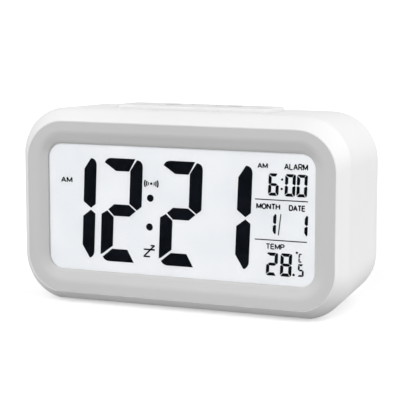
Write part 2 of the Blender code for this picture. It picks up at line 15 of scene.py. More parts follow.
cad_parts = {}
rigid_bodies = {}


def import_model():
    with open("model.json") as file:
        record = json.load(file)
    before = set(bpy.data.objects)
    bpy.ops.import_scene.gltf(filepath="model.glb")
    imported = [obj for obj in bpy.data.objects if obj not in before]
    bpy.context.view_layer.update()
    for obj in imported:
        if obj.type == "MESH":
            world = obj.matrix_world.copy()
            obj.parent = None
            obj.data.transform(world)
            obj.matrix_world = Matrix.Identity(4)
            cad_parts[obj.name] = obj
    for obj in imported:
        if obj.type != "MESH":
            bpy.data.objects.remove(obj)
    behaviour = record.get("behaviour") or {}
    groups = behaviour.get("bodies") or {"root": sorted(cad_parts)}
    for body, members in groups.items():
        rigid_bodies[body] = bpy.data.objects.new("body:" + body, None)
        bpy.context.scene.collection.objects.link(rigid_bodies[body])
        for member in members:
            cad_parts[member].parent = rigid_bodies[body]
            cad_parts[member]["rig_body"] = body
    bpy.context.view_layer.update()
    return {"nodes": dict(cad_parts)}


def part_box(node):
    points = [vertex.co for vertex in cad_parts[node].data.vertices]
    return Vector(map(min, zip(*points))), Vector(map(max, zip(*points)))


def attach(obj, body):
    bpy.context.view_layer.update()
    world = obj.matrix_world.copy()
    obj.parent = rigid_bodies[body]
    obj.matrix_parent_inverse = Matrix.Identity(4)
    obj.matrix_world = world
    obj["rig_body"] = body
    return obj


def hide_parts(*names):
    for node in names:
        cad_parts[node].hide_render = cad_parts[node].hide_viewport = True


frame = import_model()

MM = 0.001
CORNER_STEPS = 14

# Case outline: half width, top, bottom and corner radius at the bezel, the ridge and the rear
FACE = (63.5, 33.78, -33.72, 15.4)
RIDGE = (67.5, 38.42, -37.45, 18.5)
REAR = (66.9, 37.32, -35.2, 18.6)
RIDGE_Y, PART_LINE, REAR_Y, DEPTH = 5.5, 6.7, 42.0, 45.0
CORNER_DROP = 0.35
WALL = 2.0
LEAN = math.atan((REAR[2] - RIDGE[2]) / (REAR_Y - RIDGE_Y))
TOP_SLOPE = math.atan((RIDGE[1] - REAR[1]) / (REAR_Y - RIDGE_Y))

# How far the flare bulges beyond a straight slope, all round and along the bottom
FLARE_FULLNESS, BOTTOM_FULLNESS = 0.22, 0.6

# The bezel's edge and its seat in the frame: half width, top, bottom and corner radius
BEZEL_OUTER = (63.2, 33.38, -33.64, 15.26)
BEZEL_SEAT = (63.22, 33.4, -33.66, 15.28)
# The bezel's crease and the window: half width, half height and corner radius
BEZEL_CREASE = (58.84, 29.1, 10.8)
WINDOW = (55.0, 24.8, 5.7)
# Depths of the window's edge, the bezel's back and the window pane's back
WINDOW_Y, BEZEL_BACK, LENS_BACK = 1.45, 1.75, 2.1

# Snooze bar, in the frame of the sloping top
BAR_Y = 24.15
BAR_HALF, BAR_RADIUS, BAR_PROUD, BAR_WALL = (31.85, 10.6), 3.0, 1.5, 1.5

FOOT_Y, FOOT_PROUD = 12.0, 0.8
# Painted glow on the display's ground: it is no lamp, and the glow lifts it out of the shade at the window's edge
DISPLAY_PAINTED_GLOW = 0.09
PRINT_SHIFT = (0.42, 0, 0.05)
SIDES = ("left", "right")
FEET = [f"foot_{end}_{side}" for end in ("front", "rear") for side in SIDES]
SCREWS = [f"housing_screw_{end}_{side}" for end in ("top", "bottom") for side in SIDES]
SCREW_SEAT = 13.6
BUTTONS = ("mode", "set", "up", "down", "alarm")

# Battery bay: each cell and the side its positive end lies on, the heights of the door's panel, where its
# hooks stand, and how far the contacts' two faces lie from the middle
CELLS = {"cell_bottom": "right", "cell_middle": "left", "cell_top": "right"}
DOOR_TOP, DOOR_BOTTOM = 3.3, -30.7
HOOKS_X = (-12, 12)
CONTACT_FACE, CONTACT_BACK = 25.45, 25.9

# The camera, in the case's frame: its turn to the right, its height above level, how far it stands
# from the bezel, and how far its aim lies to the right of the bezel's middle and above it
CAMERA_TURN, CAMERA_RISE = math.radians(22.606), math.radians(8.064)
CAMERA_DISTANCE, CAMERA_ASIDE, CAMERA_ABOVE = 576.36, 9.292, 5.189
CAMERA_LENS = 136.876

# Soft lights: turn from straight in front towards the right, height above level, strength
LIGHTS = {
    "key": (-20, 30, 2.06),
    "left": (-80, 30, 0.6),
    "right": (90, 20, 1.95),
    "behind": (130, 40, 0.75),
    "back": (-170, 5, 0.6),
}
LIGHT_SPREAD, FLOOR_GLOW, BACKDROP_GLOW = 60, 0.3, 1.0
# The surround: height of a direction (-1 straight down, 1 straight up) and strength there.
SURROUND = ((-1.0, 0.06), (-0.35, 0.52), (0.15, 0.2))

WAYS = {
    "x": lambda u, v, w: Vector((w, u, v)),
    "y": lambda u, v, w: Vector((u, w, v)),
    "z": lambda u, v, w: Vector((u, v, w)),
}


def case_size(y):
    """Half width, top, bottom and corner radius of the straight stretch of the case at one depth."""
    share = (y - RIDGE_Y) / (REAR_Y - RIDGE_Y)
    return tuple(a + (b - a) * share for a, b in zip(RIDGE, REAR))


def case_frame():
    """From the case's frame in millimetres to the row frame in metres, read off a foot."""
    low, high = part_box("foot_front_left")
    under = Vector((0, (low.y + high.y) / 2 - FOOT_Y * MM, low.z + FOOT_PROUD * MM))
    lean = Matrix.Rotation(-LEAN, 4, "X")
    origin = under - lean @ Vector((0, 0, case_size(0)[2] * MM))
    return Matrix.Translation(origin) @ lean @ Matrix.Scale(MM, 4)


CASE = case_frame()
TOP = Matrix.Translation((0, BAR_Y, case_size(BAR_Y)[1])) @ Matrix.Rotation(-TOP_SLOPE, 4, "X")
UNDER = Matrix.Translation((0, 0, case_size(0)[2])) @ Matrix.Rotation(LEAN, 4, "X")


def span(node, within=None):
    """Lowest and highest corner of a CAD node in the case's frame, or in a frame within it."""
    back = (CASE @ within if within else CASE).inverted()
    corners = [back @ vert.co for vert in frame["nodes"][node].data.vertices]
    low = Vector([min(corner[axis] for corner in corners) for axis in range(3)])
    high = Vector([max(corner[axis] for corner in corners) for axis in range(3)])
    return low, high


def middle(node, within=None):
    """The middle of a CAD node's box."""
    low, high = span(node, within)
    return (low + high) / 2


# ---- outlines ----------------------------------------------------------------------------------


def full_circle(sides):
    """Even turns round a circle, in radians."""
    return [2 * math.pi * side / sides for side in range(sides)]


def on_circle(centre, radius, turns):
    """The points of a circle at some turns."""
    return [(centre[0] + radius * math.cos(turn), centre[1] + radius * math.sin(turn)) for turn in turns]


def rounded(half_width, top, bottom, radius, y, drop=0.0, steps=CORNER_STEPS):
    """A rounded rectangle in the plane of one y. With a drop, the bottom cuts its corners' arcs short."""
    points = []
    inner = half_width - radius
    short = math.degrees(math.acos(1 - drop / radius))
    corners = (
        (inner, top - radius, 0, 90),
        (-inner, top - radius, 90, 180),
        (-inner, bottom - drop + radius, 180, 270 - short),
        (inner, bottom - drop + radius, 270 + short, 360),
    )
    for x, z, start, end in corners:
        for step in range(steps + 1):
            angle = math.radians(start + (end - start) * step / steps)
            points.append(Vector((x + radius * math.cos(angle), y, z + radius * math.sin(angle))))
    return points


def even(size, y, grow=0.0):
    """A rounded rectangle as tall above the middle as below it, grown all round."""
    half_width, half_height, radius = size
    return rounded(half_width + grow, half_height + grow, -half_height - grow, radius + grow, y)


def case_loop(size, y, inset=0.0):
    """The case's outline at one depth, moved in by an inset."""
    half_width, top, bottom, radius = size
    return rounded(half_width - inset, top - inset, bottom + inset, radius - inset, y, CORNER_DROP)


def disc(radius, centre=(0.0, 0.0), sides=40):
    """A circle that can grow."""

    def outline(grow):
        return on_circle(centre, max(radius + grow, 0.01), full_circle(sides))

    return outline


def panel(half_u, half_v, radius, centre=(0.0, 0.0), steps=6):
    """A rounded rectangle that can grow."""

    def outline(grow):
        corner = max(radius + grow, 0.02)
        across, up = half_u + grow - corner, half_v + grow - corner
        points = []
        for number, (side, rise) in enumerate(((1, 1), (-1, 1), (-1, -1), (1, -1))):
            for step in range(steps + 1):
                turn = math.pi / 2 * (number + step / steps)
                u = centre[0] + side * across + corner * math.cos(turn)
                v = centre[1] + rise * up + corner * math.sin(turn)
                points.append((u, v))
        return points

    return outline


def rim(depth, size, reach, steps=5):
    """(depth, grow) pairs of a rounded edge that ends at a depth. A negative size opens a hole's mouth."""
    turns = [math.pi / 2 * step / steps for step in range(steps + 1)]
    return [(depth - reach * (1 - math.sin(turn)), -size * (1 - math.cos(turn))) for turn in turns]


def rims(low, high, edge, steps=4):
    """The profile of a plate with both of its edges rounded."""
    return [*reversed(rim(low, edge, -edge, steps)), *rim(high, edge, edge, steps)]


def bend(start, corner, end, steps=5):
    """Pairs on the curve that rounds off a corner between two points, both ends included."""
    shares = [step / steps for step in range(steps + 1)]
    return [
        tuple(a * (1 - t) ** 2 + 2 * b * t * (1 - t) + c * t**2 for a, b, c in zip(start, corner, end))
        for t in shares
    ]


def smooth(points, samples=8):
    """Points along a smooth curve through the given ones."""
    points = [Vector(point) for point in points]
    padded = [2 * points[0] - points[1], *points, 2 * points[-1] - points[-2]]
    found = []
    for before, start, end, after in zip(padded, padded[1:], padded[2:], padded[3:]):
        for step in range(samples):
            t = step / samples
            square = 2 * before - 5 * start + 4 * end - after
            cube = 3 * start - before - 3 * end + after
            found.append(0.5 * (2 * start + (end - before) * t + square * t**2 + cube * t**3))
    return [*found, points[-1]]


# ---- meshes ------------------------------------------------------------------------------------


def loft(loops, ring=False):
    """A closed mesh through loops of points. A ring joins its last loop to its first, others get caps."""
    mesh = bmesh.new()
    rows = [[mesh.verts.new(point) for point in loop] for loop in loops]
    pairs = list(zip(rows, rows[1:]))
    if ring:
        pairs.append((rows[-1], rows[0]))
    else:
        mesh.faces.new(rows[0])
        mesh.faces.new(rows[-1])
    for first, second in pairs:
        for i in range(len(first)):
            j = (i + 1) % len(first)
            mesh.faces.new((first[i], first[j], second[j], second[i]))
    bmesh.ops.recalc_face_normals(mesh, faces=mesh.faces)
    return mesh


def drawn(outline, profile, way="y", ring=False):
    """A solid whose growing outline is drawn through the (depth, grow) pairs of its profile."""
    return loft([[WAYS[way](u, v, w) for u, v in outline(grow)] for w, grow in profile], ring)


def turned(centre, profile, way="y", sides=40):
    """A turned solid about a centre: its profile is a list of (distance along the axis, radius)."""
    mesh = drawn(disc(0.0, (0, 0), sides), profile, way)
    mesh.transform(Matrix.Translation(centre))
    return mesh


def turned_through(centre, profile, sides=40):
    """A turned solid round the line through a centre from front to back. Its profile is (y, radius) pairs."""
    return turned((centre.x, 0, centre.z), profile, sides=sides)


def rim_of(end, radius, edge, steps=5):
    """A turned profile's last stretch: a side that rounds over at its end."""
    return [(w, radius + grow) for w, grow in rim(end, edge, edge, steps)]


def plate(low, high, radius=0.4, edge=0.12, way="y"):
    """A plate that fills a box, drawn along one way, with rounded corners and edges."""
    u, v, w = {"x": (1, 2, 0), "y": (0, 2, 1), "z": (0, 1, 2)}[way]
    centre = ((low[u] + high[u]) / 2, (low[v] + high[v]) / 2)
    outline = panel((high[u] - low[u]) / 2, (high[v] - low[v]) / 2, radius, centre)
    return drawn(outline, rims(low[w], high[w], edge), way)


def block(x, y, z):
    """A box from its three (low, high) spans, for cutting."""
    corners = ((x[0], y[0]), (x[1], y[0]), (x[1], y[1]), (x[0], y[1]))
    return loft([[Vector((a, b, c)) for a, b in corners] for c in z])


def flat(outline, depths):
    """A closed outline of (x, z) points between two depths."""
    return loft([[Vector((x, depth, z)) for x, z in outline] for depth in depths])


def swept(points, radius, sides=12):
    """A round wire along a line of points."""
    points = [Vector(point) for point in points]
    side = (points[1] - points[0]).orthogonal().normalized()
    loops = []
    for number, point in enumerate(points):
        ahead = points[min(number + 1, len(points) - 1)] - points[max(number - 1, 0)]
        side = (side - side.project(ahead)).normalized()
        up = ahead.normalized().cross(side)
        around = on_circle((0, 0), radius, full_circle(sides))
        loops.append([point + side * across + up * rise for across, rise in around])
    return loft(loops)


def together(meshes):
    """One mesh from several."""
    whole = bmesh.new()
    for mesh in meshes:
        copies = {vert: whole.verts.new(vert.co) for vert in mesh.verts}
        for face in mesh.faces:
            whole.faces.new([copies[vert] for vert in face.verts])
        mesh.free()
    return whole


def moved(mesh, place):
    """The mesh set into another frame."""
    mesh.transform(place)
    return mesh


def loose(name, mesh):
    """A scratch object for a modifier to work on."""
    data = bpy.data.meshes.new(name)
    mesh.to_mesh(data)
    mesh.free()
    made = bpy.data.objects.new(name, data)
    bpy.context.scene.collection.objects.link(made)
    return made


def carved(mesh, *steps):
    """The mesh after its Booleans, given as (operation, shape or list of shapes) pairs."""
    target = loose("carved", mesh)
    scratch = [target]
    for number, (operation, shape) in enumerate(steps):
        scratch.append(loose("cutter", together(shape) if isinstance(shape, list) else shape))
        modifier = target.modifiers.new(f"step_{number}", "BOOLEAN")
        modifier.operation = operation
        modifier.solver = "EXACT"
        modifier.object = scratch[-1]
    bpy.context.view_layer.update()
    result = bmesh.new()
    result.from_object(target, bpy.context.evaluated_depsgraph_get())
    for thing in scratch:
        bpy.data.objects.remove(thing, do_unlink=True)
    bmesh.ops.dissolve_degenerate(result, dist=0.002, edges=result.edges)
    return result


def piece(node, mesh, look, name=None, sharp=38):
    """A fine piece in the place of a CAD node, riding on its body. One with its own name adds to the node."""
    data = bpy.data.meshes.new(name or f"{node}_piece")
    mesh.transform(CASE)
    mesh.to_mesh(data)
    mesh.free()
    data.shade_smooth()
    data.set_sharp_from_angle(angle=math.radians(sharp))
    data.materials.append(LOOKS[look])
    made = bpy.data.objects.new(data.name, data)
    bpy.context.scene.collection.objects.link(made)
    weighted = made.modifiers.new("even_shading", "WEIGHTED_NORMAL")
    weighted.keep_sharp = True
    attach(made, frame["nodes"][node]["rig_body"])
    if not name:
        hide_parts(node)
    return made


# ---- materials ---------------------------------------------------------------------------------


class Recipe:
    """A material being written: its node tree with short calls for the nodes that these looks share."""

    def __init__(self, name, roughness=0.5, metallic=0.0, specular=0.5):
        self.material = bpy.data.materials.new(name)
        self.material.use_nodes = True
        self.tree = self.material.node_tree
        self.shader = self.tree.nodes["Principled BSDF"]
        self.shader.inputs["Roughness"].default_value = roughness
        self.shader.inputs["Metallic"].default_value = metallic
        self.shader.inputs["Specular IOR Level"].default_value = specular
        self.place = self.tree.nodes.new("ShaderNodeTexCoord").outputs["Object"]

    def node(self, kind, values=(), links=()):
        """A new node with some inputs set and some linked."""
        made = self.tree.nodes.new(kind)
        for key, value in dict(values).items():
            made.inputs[key].default_value = value
        for key, source in dict(links).items():
            self.tree.links.new(source, made.inputs[key])
        return made

    def stretched(self, stretch):
        """Places on the object, stretched along the axes."""
        made = self.node("ShaderNodeVectorMath", links={0: self.place})
        made.operation = "MULTIPLY"
        made.inputs[1].default_value = stretch
        return made.outputs[0]

    def noise(self, scale, detail=3.0, stretch=None):
        """Noise at a scale per metre, which may be stretched along the axes."""
        place = self.stretched(stretch) if stretch else self.place
        made = self.node("ShaderNodeTexNoise", {"Scale": scale, "Detail": detail}, {"Vector": place})
        return made.outputs["Fac"]

    def ramp(self, source, *stops):
        """Colours along a number, from (place, colour) stops."""
        made = self.node("ShaderNodeValToRGB", links={"Fac": source})
        elements = made.color_ramp.elements
        while len(elements) < len(stops):
            elements.new(0.5)
        for element, (place, colour) in zip(elements, stops):
            element.position = place
            element.color = (*colour, 1.0)
        return made.outputs["Color"]

    def uneven(self, colour, scale, detail=3.0, low=0.86, high=1.06, start=0.3, end=0.7):
        """A colour that wanders between two shades of itself."""
        return self.ramp(self.noise(scale, detail), (start, shade(colour, low)), (end, shade(colour, high)))

    def wandering(self, scale, low, high, detail=3.0):
        """A number that wanders between two values."""
        return self.between(self.noise(scale, detail), low, high)

    def between(self, source, low, high, start=0.3, end=0.7):
        """A number that runs from low to high as the source runs from start to end."""
        values = {"From Min": start, "From Max": end, "To Min": low, "To Max": high}
        return self.node("ShaderNodeMapRange", values, {"Value": source}).outputs["Result"]

    def mix(self, share, first, second, blend="MIX"):
        """Two colours mixed by a share. Each is a socket or a plain colour."""
        made = self.tree.nodes.new("ShaderNodeMix")
        made.data_type = "RGBA"
        made.blend_type = blend
        for key, value in (("Factor_Float", share), ("A_Color", first), ("B_Color", second)):
            socket = next(socket for socket in made.inputs if socket.identifier == key)
            if isinstance(value, bpy.types.NodeSocket):
                self.tree.links.new(value, socket)
            else:
                socket.default_value = value if isinstance(value, float) else (*value, 1.0)
        return next(socket for socket in made.outputs if socket.identifier == "Result_Color")

    def bump(self, height, depth, normal=None):
        """Relief of a depth in millimetres."""
        links = {"Height": height}
        if normal is not None:
            links["Normal"] = normal
        return self.node("ShaderNodeBump", {"Strength": 1.0, "Distance": depth * MM}, links).outputs["Normal"]

    def finish(self, **sources):
        """The material, after sockets of the shader, named in lower case with underscores, are linked."""
        for name, source in sources.items():
            self.tree.links.new(source, self.shader.inputs[name.replace("_", " ").title()])
        return self.material


def shade(colour, amount):
    """A colour made darker or lighter."""
    return tuple(min(1.0, part * amount) for part in colour)


def moulded(name, colour, roughness, grain=0.25, depth=0.004, variation=0.02, specular=0.5):
    """Moulded plastic: spark-eroded grain, slow tone changes across the part, and specks of gloss."""
    recipe = Recipe(name, roughness, specular=specular)
    tone = recipe.uneven(colour, 18.0, 2.0, 1 - variation, 1 + variation / 2)
    fine = recipe.noise(1000 / grain, 2.0)
    speck = recipe.between(fine, 0.0, 0.05, 0.35, 0.75)
    return recipe.finish(
        base_color=recipe.mix(speck, tone, shade(colour, 0.9)),
        roughness=recipe.wandering(900.0, roughness - 0.05, roughness + 0.07, 4.0),
        normal=recipe.bump(fine, depth, recipe.bump(recipe.noise(90.0, 1.0), 0.012)),
    )


def display_ground():
    """The display's pale ground: a faintly blue polariser with slow clouds and a fine tooth, and a faint painted
    glow in the clouds' colours that brightens the ground and softens the shade at the window's edge.
    """
    recipe = Recipe("display_glass", 0.34, specular=0.25)
    # painted glow: the ground gives off light of its own, though it is no lamp
    recipe.shader.inputs["Emission Strength"].default_value = DISPLAY_PAINTED_GLOW
    tones = (0.3, (0.83, 0.85, 0.875)), (0.55, (0.88, 0.895, 0.92)), (0.75, (0.91, 0.92, 0.935))
    clouds = recipe.ramp(recipe.noise(60.0, 4.0), *tones)
    fine = recipe.noise(5200.0, 1.0)
    return recipe.finish(
        base_color=recipe.mix(recipe.between(fine, 0.0, 0.06), clouds, (0.74, 0.77, 0.81)),
        roughness=recipe.wandering(300.0, 0.3, 0.4),
        normal=recipe.bump(fine, 0.002),
        emission_color=clouds,
    )


def display_ink():
    """A driven segment: near black with a blue cast and slightly uneven density."""
    recipe = Recipe("display_ink", 0.55, specular=0.03)
    dense, thin = (0.35, (0.0012, 0.0025, 0.005)), (0.7, (0.005, 0.007, 0.0115))
    density = recipe.ramp(recipe.noise(260.0, 4.0), dense, thin)
    return recipe.finish(base_color=density, roughness=recipe.wandering(700.0, 0.42, 0.6))


def clear_lens():
    """The coated window: what is behind shows through, with a faint reflection and hairline wipe marks."""
    recipe = Recipe("clear_lens")
    tree = recipe.tree
    tree.nodes.remove(recipe.shader)
    clear = recipe.node("ShaderNodeBsdfTransparent", {"Color": (0.997, 0.998, 0.999, 1.0)})
    marks = recipe.noise(420.0, 5.0, (1.0, 1.0, 6.0))
    gloss = recipe.node("ShaderNodeBsdfGlossy", links={"Roughness": recipe.between(marks, 0.04, 0.12)})
    facing = recipe.node("ShaderNodeFresnel", {"IOR": 1.11})
    parts = {number: part.outputs[0] for number, part in enumerate((facing, clear, gloss))}
    mixed = recipe.node("ShaderNodeMixShader", links=parts)
    tree.links.new(mixed.outputs[0], tree.nodes["Material Output"].inputs["Surface"])
    return recipe.material


def printed(name, colour):
    """Pad print: matt ink that covers a little unevenly."""
    recipe = Recipe(name, 0.6, specular=0.3)
    cover = recipe.uneven(colour, 1500.0, low=0.85, high=1.2, end=0.75)
    return recipe.finish(base_color=cover, roughness=recipe.wandering(2500.0, 0.5, 0.7))


def rubber(name, colour):
    """Soft rubber with a fine matt skin and a little dust."""
    recipe = Recipe(name, 0.85, specular=0.3)
    dust = recipe.between(recipe.noise(600.0, 5.0), 0.0, 0.25, 0.45, 0.8)
    return recipe.finish(
        base_color=recipe.mix(dust, colour, shade(colour, 1.5)),
        roughness=recipe.wandering(1500.0, 0.75, 0.95),
        normal=recipe.bump(recipe.noise(3500.0, 3.0), 0.01),
    )


def metal(name, colour, roughness, brushed=(1.0, 1.0, 1.0)):
    """Plated sheet or wire with fine drawing lines and handling marks."""
    recipe = Recipe(name, roughness, 1.0)
    lines = recipe.noise(2600.0, 3.0, brushed)
    return recipe.finish(
        base_color=recipe.uneven(colour, 350.0, 4.0),
        roughness=recipe.between(lines, roughness - 0.08, roughness + 0.12),
        normal=recipe.bump(lines, 0.003),
    )


def board_green():
    """Solder mask over copper: paler tracks in steps, bare laminate grain beneath."""
    recipe = Recipe("board_green", 0.4)
    cells = {"Scale": 160.0, "Randomness": 0.7}
    wander = recipe.node("ShaderNodeTexVoronoi", cells, {"Vector": recipe.stretched((1.0, 0.0, 1.0))})
    wander.distance = "CHEBYCHEV"
    rings = recipe.node("ShaderNodeMath", {1: 14.0}, {0: wander.outputs["Distance"]})
    rings.operation = "MULTIPLY"
    wave = recipe.node("ShaderNodeMath", links={0: rings.outputs[0]})
    wave.operation = "FRACT"
    track = recipe.between(wave.outputs[0], 0.0, 1.0, 0.52, 0.58)
    ground = recipe.ramp(recipe.noise(900.0), (0.3, (0.008, 0.085, 0.035)), (0.7, (0.012, 0.12, 0.05)))
    return recipe.finish(
        base_color=recipe.mix(track, ground, (0.03, 0.23, 0.09)),
        roughness=recipe.wandering(1200.0, 0.32, 0.5),
        normal=recipe.bump(track, 0.03),
    )


def glossy(name, colour, roughness, wave=0.02):
    """Poured epoxy or glossy sleeve with a slightly wavy skin."""
    recipe = Recipe(name, roughness)
    return recipe.finish(
        base_color=recipe.uneven(colour, 400.0, low=0.8, high=1.3),
        roughness=recipe.wandering(1100.0, roughness * 0.8, roughness * 1.4, 4.0),
        normal=recipe.bump(recipe.noise(700.0, 1.0), wave),
    )


def sleeve(name, way):
    """A cell's printed sleeve: a silver-grey body with a green band at the positive end."""
    recipe = Recipe(name, 0.3)
    split = recipe.node("ShaderNodeSeparateXYZ", links={0: recipe.place})
    along = recipe.between(split.outputs[0], 0.0, 1.0, -0.0225 * way, 0.0225 * way)
    silver, line = (0.5, 0.52, 0.54), (0.85, 0.85, 0.84)
    green = (0.685, (0.02, 0.28, 0.16)), (1.0, (0.015, 0.24, 0.13))
    bands = recipe.ramp(along, (0.0, silver), (0.66, silver), (0.665, line), (0.68, line), *green)
    return recipe.finish(
        base_color=recipe.mix(recipe.wandering(800.0, 0.0, 0.12), bands, (0.3, 0.3, 0.3)),
        roughness=recipe.wandering(500.0, 0.24, 0.38),
        normal=recipe.bump(recipe.noise(350.0, 2.0), 0.02),
    )


def acrylic():
    """The light guide: milky acrylic with a grid of printed dots."""
    recipe = Recipe("acrylic", 0.12)
    recipe.shader.inputs["Transmission Weight"].default_value = 0.45
    dots = recipe.node("ShaderNodeTexVoronoi", {"Scale": 700.0, "Randomness": 0.0}, {"Vector": recipe.place})
    dot = recipe.between(dots.outputs["Distance"], 1.0, 0.0, 0.2, 0.3)
    return recipe.finish(
        base_color=recipe.mix(dot, (0.82, 0.88, 0.9), (0.95, 0.95, 0.95)),
        roughness=recipe.between(dot, 0.12, 0.6, 0.0, 1.0),
        normal=recipe.bump(dot, 0.02),
    )


def striped_rubber():
    """The connector strip: dark rubber with close conductive layers across its length."""
    recipe = Recipe("rubber_black", 0.8)
    waves = recipe.node("ShaderNodeTexWave", {"Scale": 1200.0}, {"Vector": recipe.place})
    layer = recipe.between(waves.outputs["Fac"], 0.0, 1.0, 0.4, 0.6)
    return recipe.finish(
        base_color=recipe.mix(layer, (0.012, 0.012, 0.013), (0.05, 0.05, 0.05)),
        roughness=recipe.wandering(1500.0, 0.7, 0.9),
        normal=recipe.bump(layer, 0.01),
    )


def make_looks():
    """Every look of the clock, by its name."""
    made = (
        moulded("case_white", (0.825, 0.825, 0.825), 0.44),
        moulded("bezel_grey", (0.56, 0.56, 0.56), 0.52, 0.2),
        # The snooze bar's and keys' white is set darker than the case's white: painted shade that stands in for
        # the shade on the bar's front face
        moulded("button_white", (0.74, 0.74, 0.745), 0.46),
        moulded("inner_white", (0.74, 0.74, 0.72), 0.5),
        moulded("switch_black", (0.02, 0.02, 0.021), 0.48),
        moulded("plunger_white", (0.7, 0.7, 0.67), 0.42),
        moulded("white_film", (0.9, 0.9, 0.9), 0.4, 0.4, 0.002),
        moulded("lamp_yellow", (0.88, 0.76, 0.3), 0.3, 0.4, 0.002),
        display_ground(),
        display_ink(),
        clear_lens(),
        printed("print_grey", (0.16, 0.17, 0.18)),
        printed("bar_print", (0.33, 0.33, 0.34)),
        rubber("foot_rubber", (0.5, 0.5, 0.5)),
        striped_rubber(),
        metal("steel", (0.62, 0.62, 0.63), 0.3),
        metal("nickel", (0.7, 0.67, 0.61), 0.28, (1.0, 1.0, 8.0)),
        metal("solder", (0.72, 0.72, 0.73), 0.34),
        board_green(),
        glossy("epoxy_black", (0.014, 0.014, 0.015), 0.28),
        acrylic(),
        sleeve("cell_sleeve_right", 1),
        sleeve("cell_sleeve_left", -1),
        glossy("wire_red", (0.5, 0.02, 0.018), 0.38, 0.01),
        glossy("wire_black", (0.018, 0.018, 0.018), 0.4, 0.01),
        glossy("wire_grey", (0.36, 0.36, 0.38), 0.4, 0.01),
    )
    return {look.name.split(".")[0]: look for look in made}


LOOKS = make_looks()


# ---- the front ---------------------------------------------------------------------------------


def flare_loops():
    """The outside of the front frame: a flare that is fullest below, and the soft ridge it ends in."""
    turn_in = 0.8
    straight = case_size(PART_LINE)
    end_out = (straight[0] - FACE[0]) / (RIDGE[0] - FACE[0])

    def curve(fullness):
        def out_at(share):
            return share + fullness * share * (1 - share)

        pairs = [(out_at(share), RIDGE_Y * share) for share in (turn_in * step / 9 for step in range(9))]
        last = (out_at(turn_in), RIDGE_Y * turn_in)
        return pairs + bend(last, (1.0, RIDGE_Y), (end_out, PART_LINE - 0.2), 8)

    loops = []
    for (out, y), (low_out, _) in zip(curve(FLARE_FULLNESS), curve(BOTTOM_FULLNESS)):
        size = [a + (b - a) * out for a, b in zip(FACE, RIDGE)]
        size[2] = FACE[2] + (RIDGE[2] - FACE[2]) * low_out
        loops.append(case_loop(size, y))
    return loops


def build_front():
    """The bezel, its clear window and the front frame with its four screw bosses."""
    bezel_edge, crease, lip_reach, lip_end = 0.1, 1.3, 1.3, BEZEL_BACK - 0.03
    slope = WINDOW_Y / (BEZEL_CREASE[0] - WINDOW[0])
    profile = [case_loop(BEZEL_OUTER, BEZEL_BACK)]
    profile += [case_loop(BEZEL_OUTER, y, -grow) for y, grow in rim(0, bezel_edge, -bezel_edge, 4)]
    for grow, y in bend((crease, 0.0), (0.0, 0.0), (-crease, crease * slope), 6):
        profile.append(even(BEZEL_CREASE, y, grow))
    lip = bend((lip_reach, WINDOW_Y - lip_reach * slope), (0.0, WINDOW_Y), (0.0, lip_end), 8)
    profile += [even(WINDOW, y, grow) for grow, y in lip]
    profile.append(even(WINDOW, BEZEL_BACK))
    piece("bezel", loft(profile, ring=True), "bezel_grey")

    low, high = span("display_lens")
    low.y, high.y = BEZEL_BACK + 0.05, LENS_BACK
    piece("display_lens", plate(low, high, 3.0, 0.15), "clear_lens")

    lip_low, lip_back = 2.05, 3.9
    opening = (57.2, 27.5, 3.3)
    inside = [
        case_loop(case_size(PART_LINE), PART_LINE),
        case_loop(case_size(PART_LINE), PART_LINE, WALL),
        case_loop(RIDGE, 4.9, 2.3),
        rounded(63.9, 34.2, -33.8, 15.2, lip_back, CORNER_DROP),
        even(opening, lip_back),
        even(opening, lip_low),
        case_loop(BEZEL_SEAT, lip_low),
        case_loop(BEZEL_SEAT, 0.04),
    ]
    shell = loft([*flare_loops(), *inside], ring=True)
    centres = [middle(name) for name in SCREWS]
    boss = ((3.0, 3.3), (4.4, 2.9), *rim_of(8.6, 2.9, 0.2, 4))
    bosses = [turned_through(centre, boss, 32) for centre in centres]
    hole = ((4.7, 1.1), (8.3, 1.1), (8.6, 1.35), (9.0, 1.35))
    holes = [turned_through(centre, hole, 24) for centre in centres]
    shell = carved(shell, ("UNION", bosses), ("DIFFERENCE", holes))
    piece("front_frame", shell, "case_white")


# ---- the display -------------------------------------------------------------------------------

DIGIT_WIDTH, DIGIT_HEIGHT, DIGIT_STROKE = 16.5, 40.0, 4.75
DIGIT_BASE = -20.45
DIGIT_SLANT = 0.04
LIT = {
    "0": "abcdef",
    "1": "bc",
    "2": "abged",
    "5": "afgcd",
    "6": "afgcde",
    "8": "abcdefg",
    "C": "afed",
}


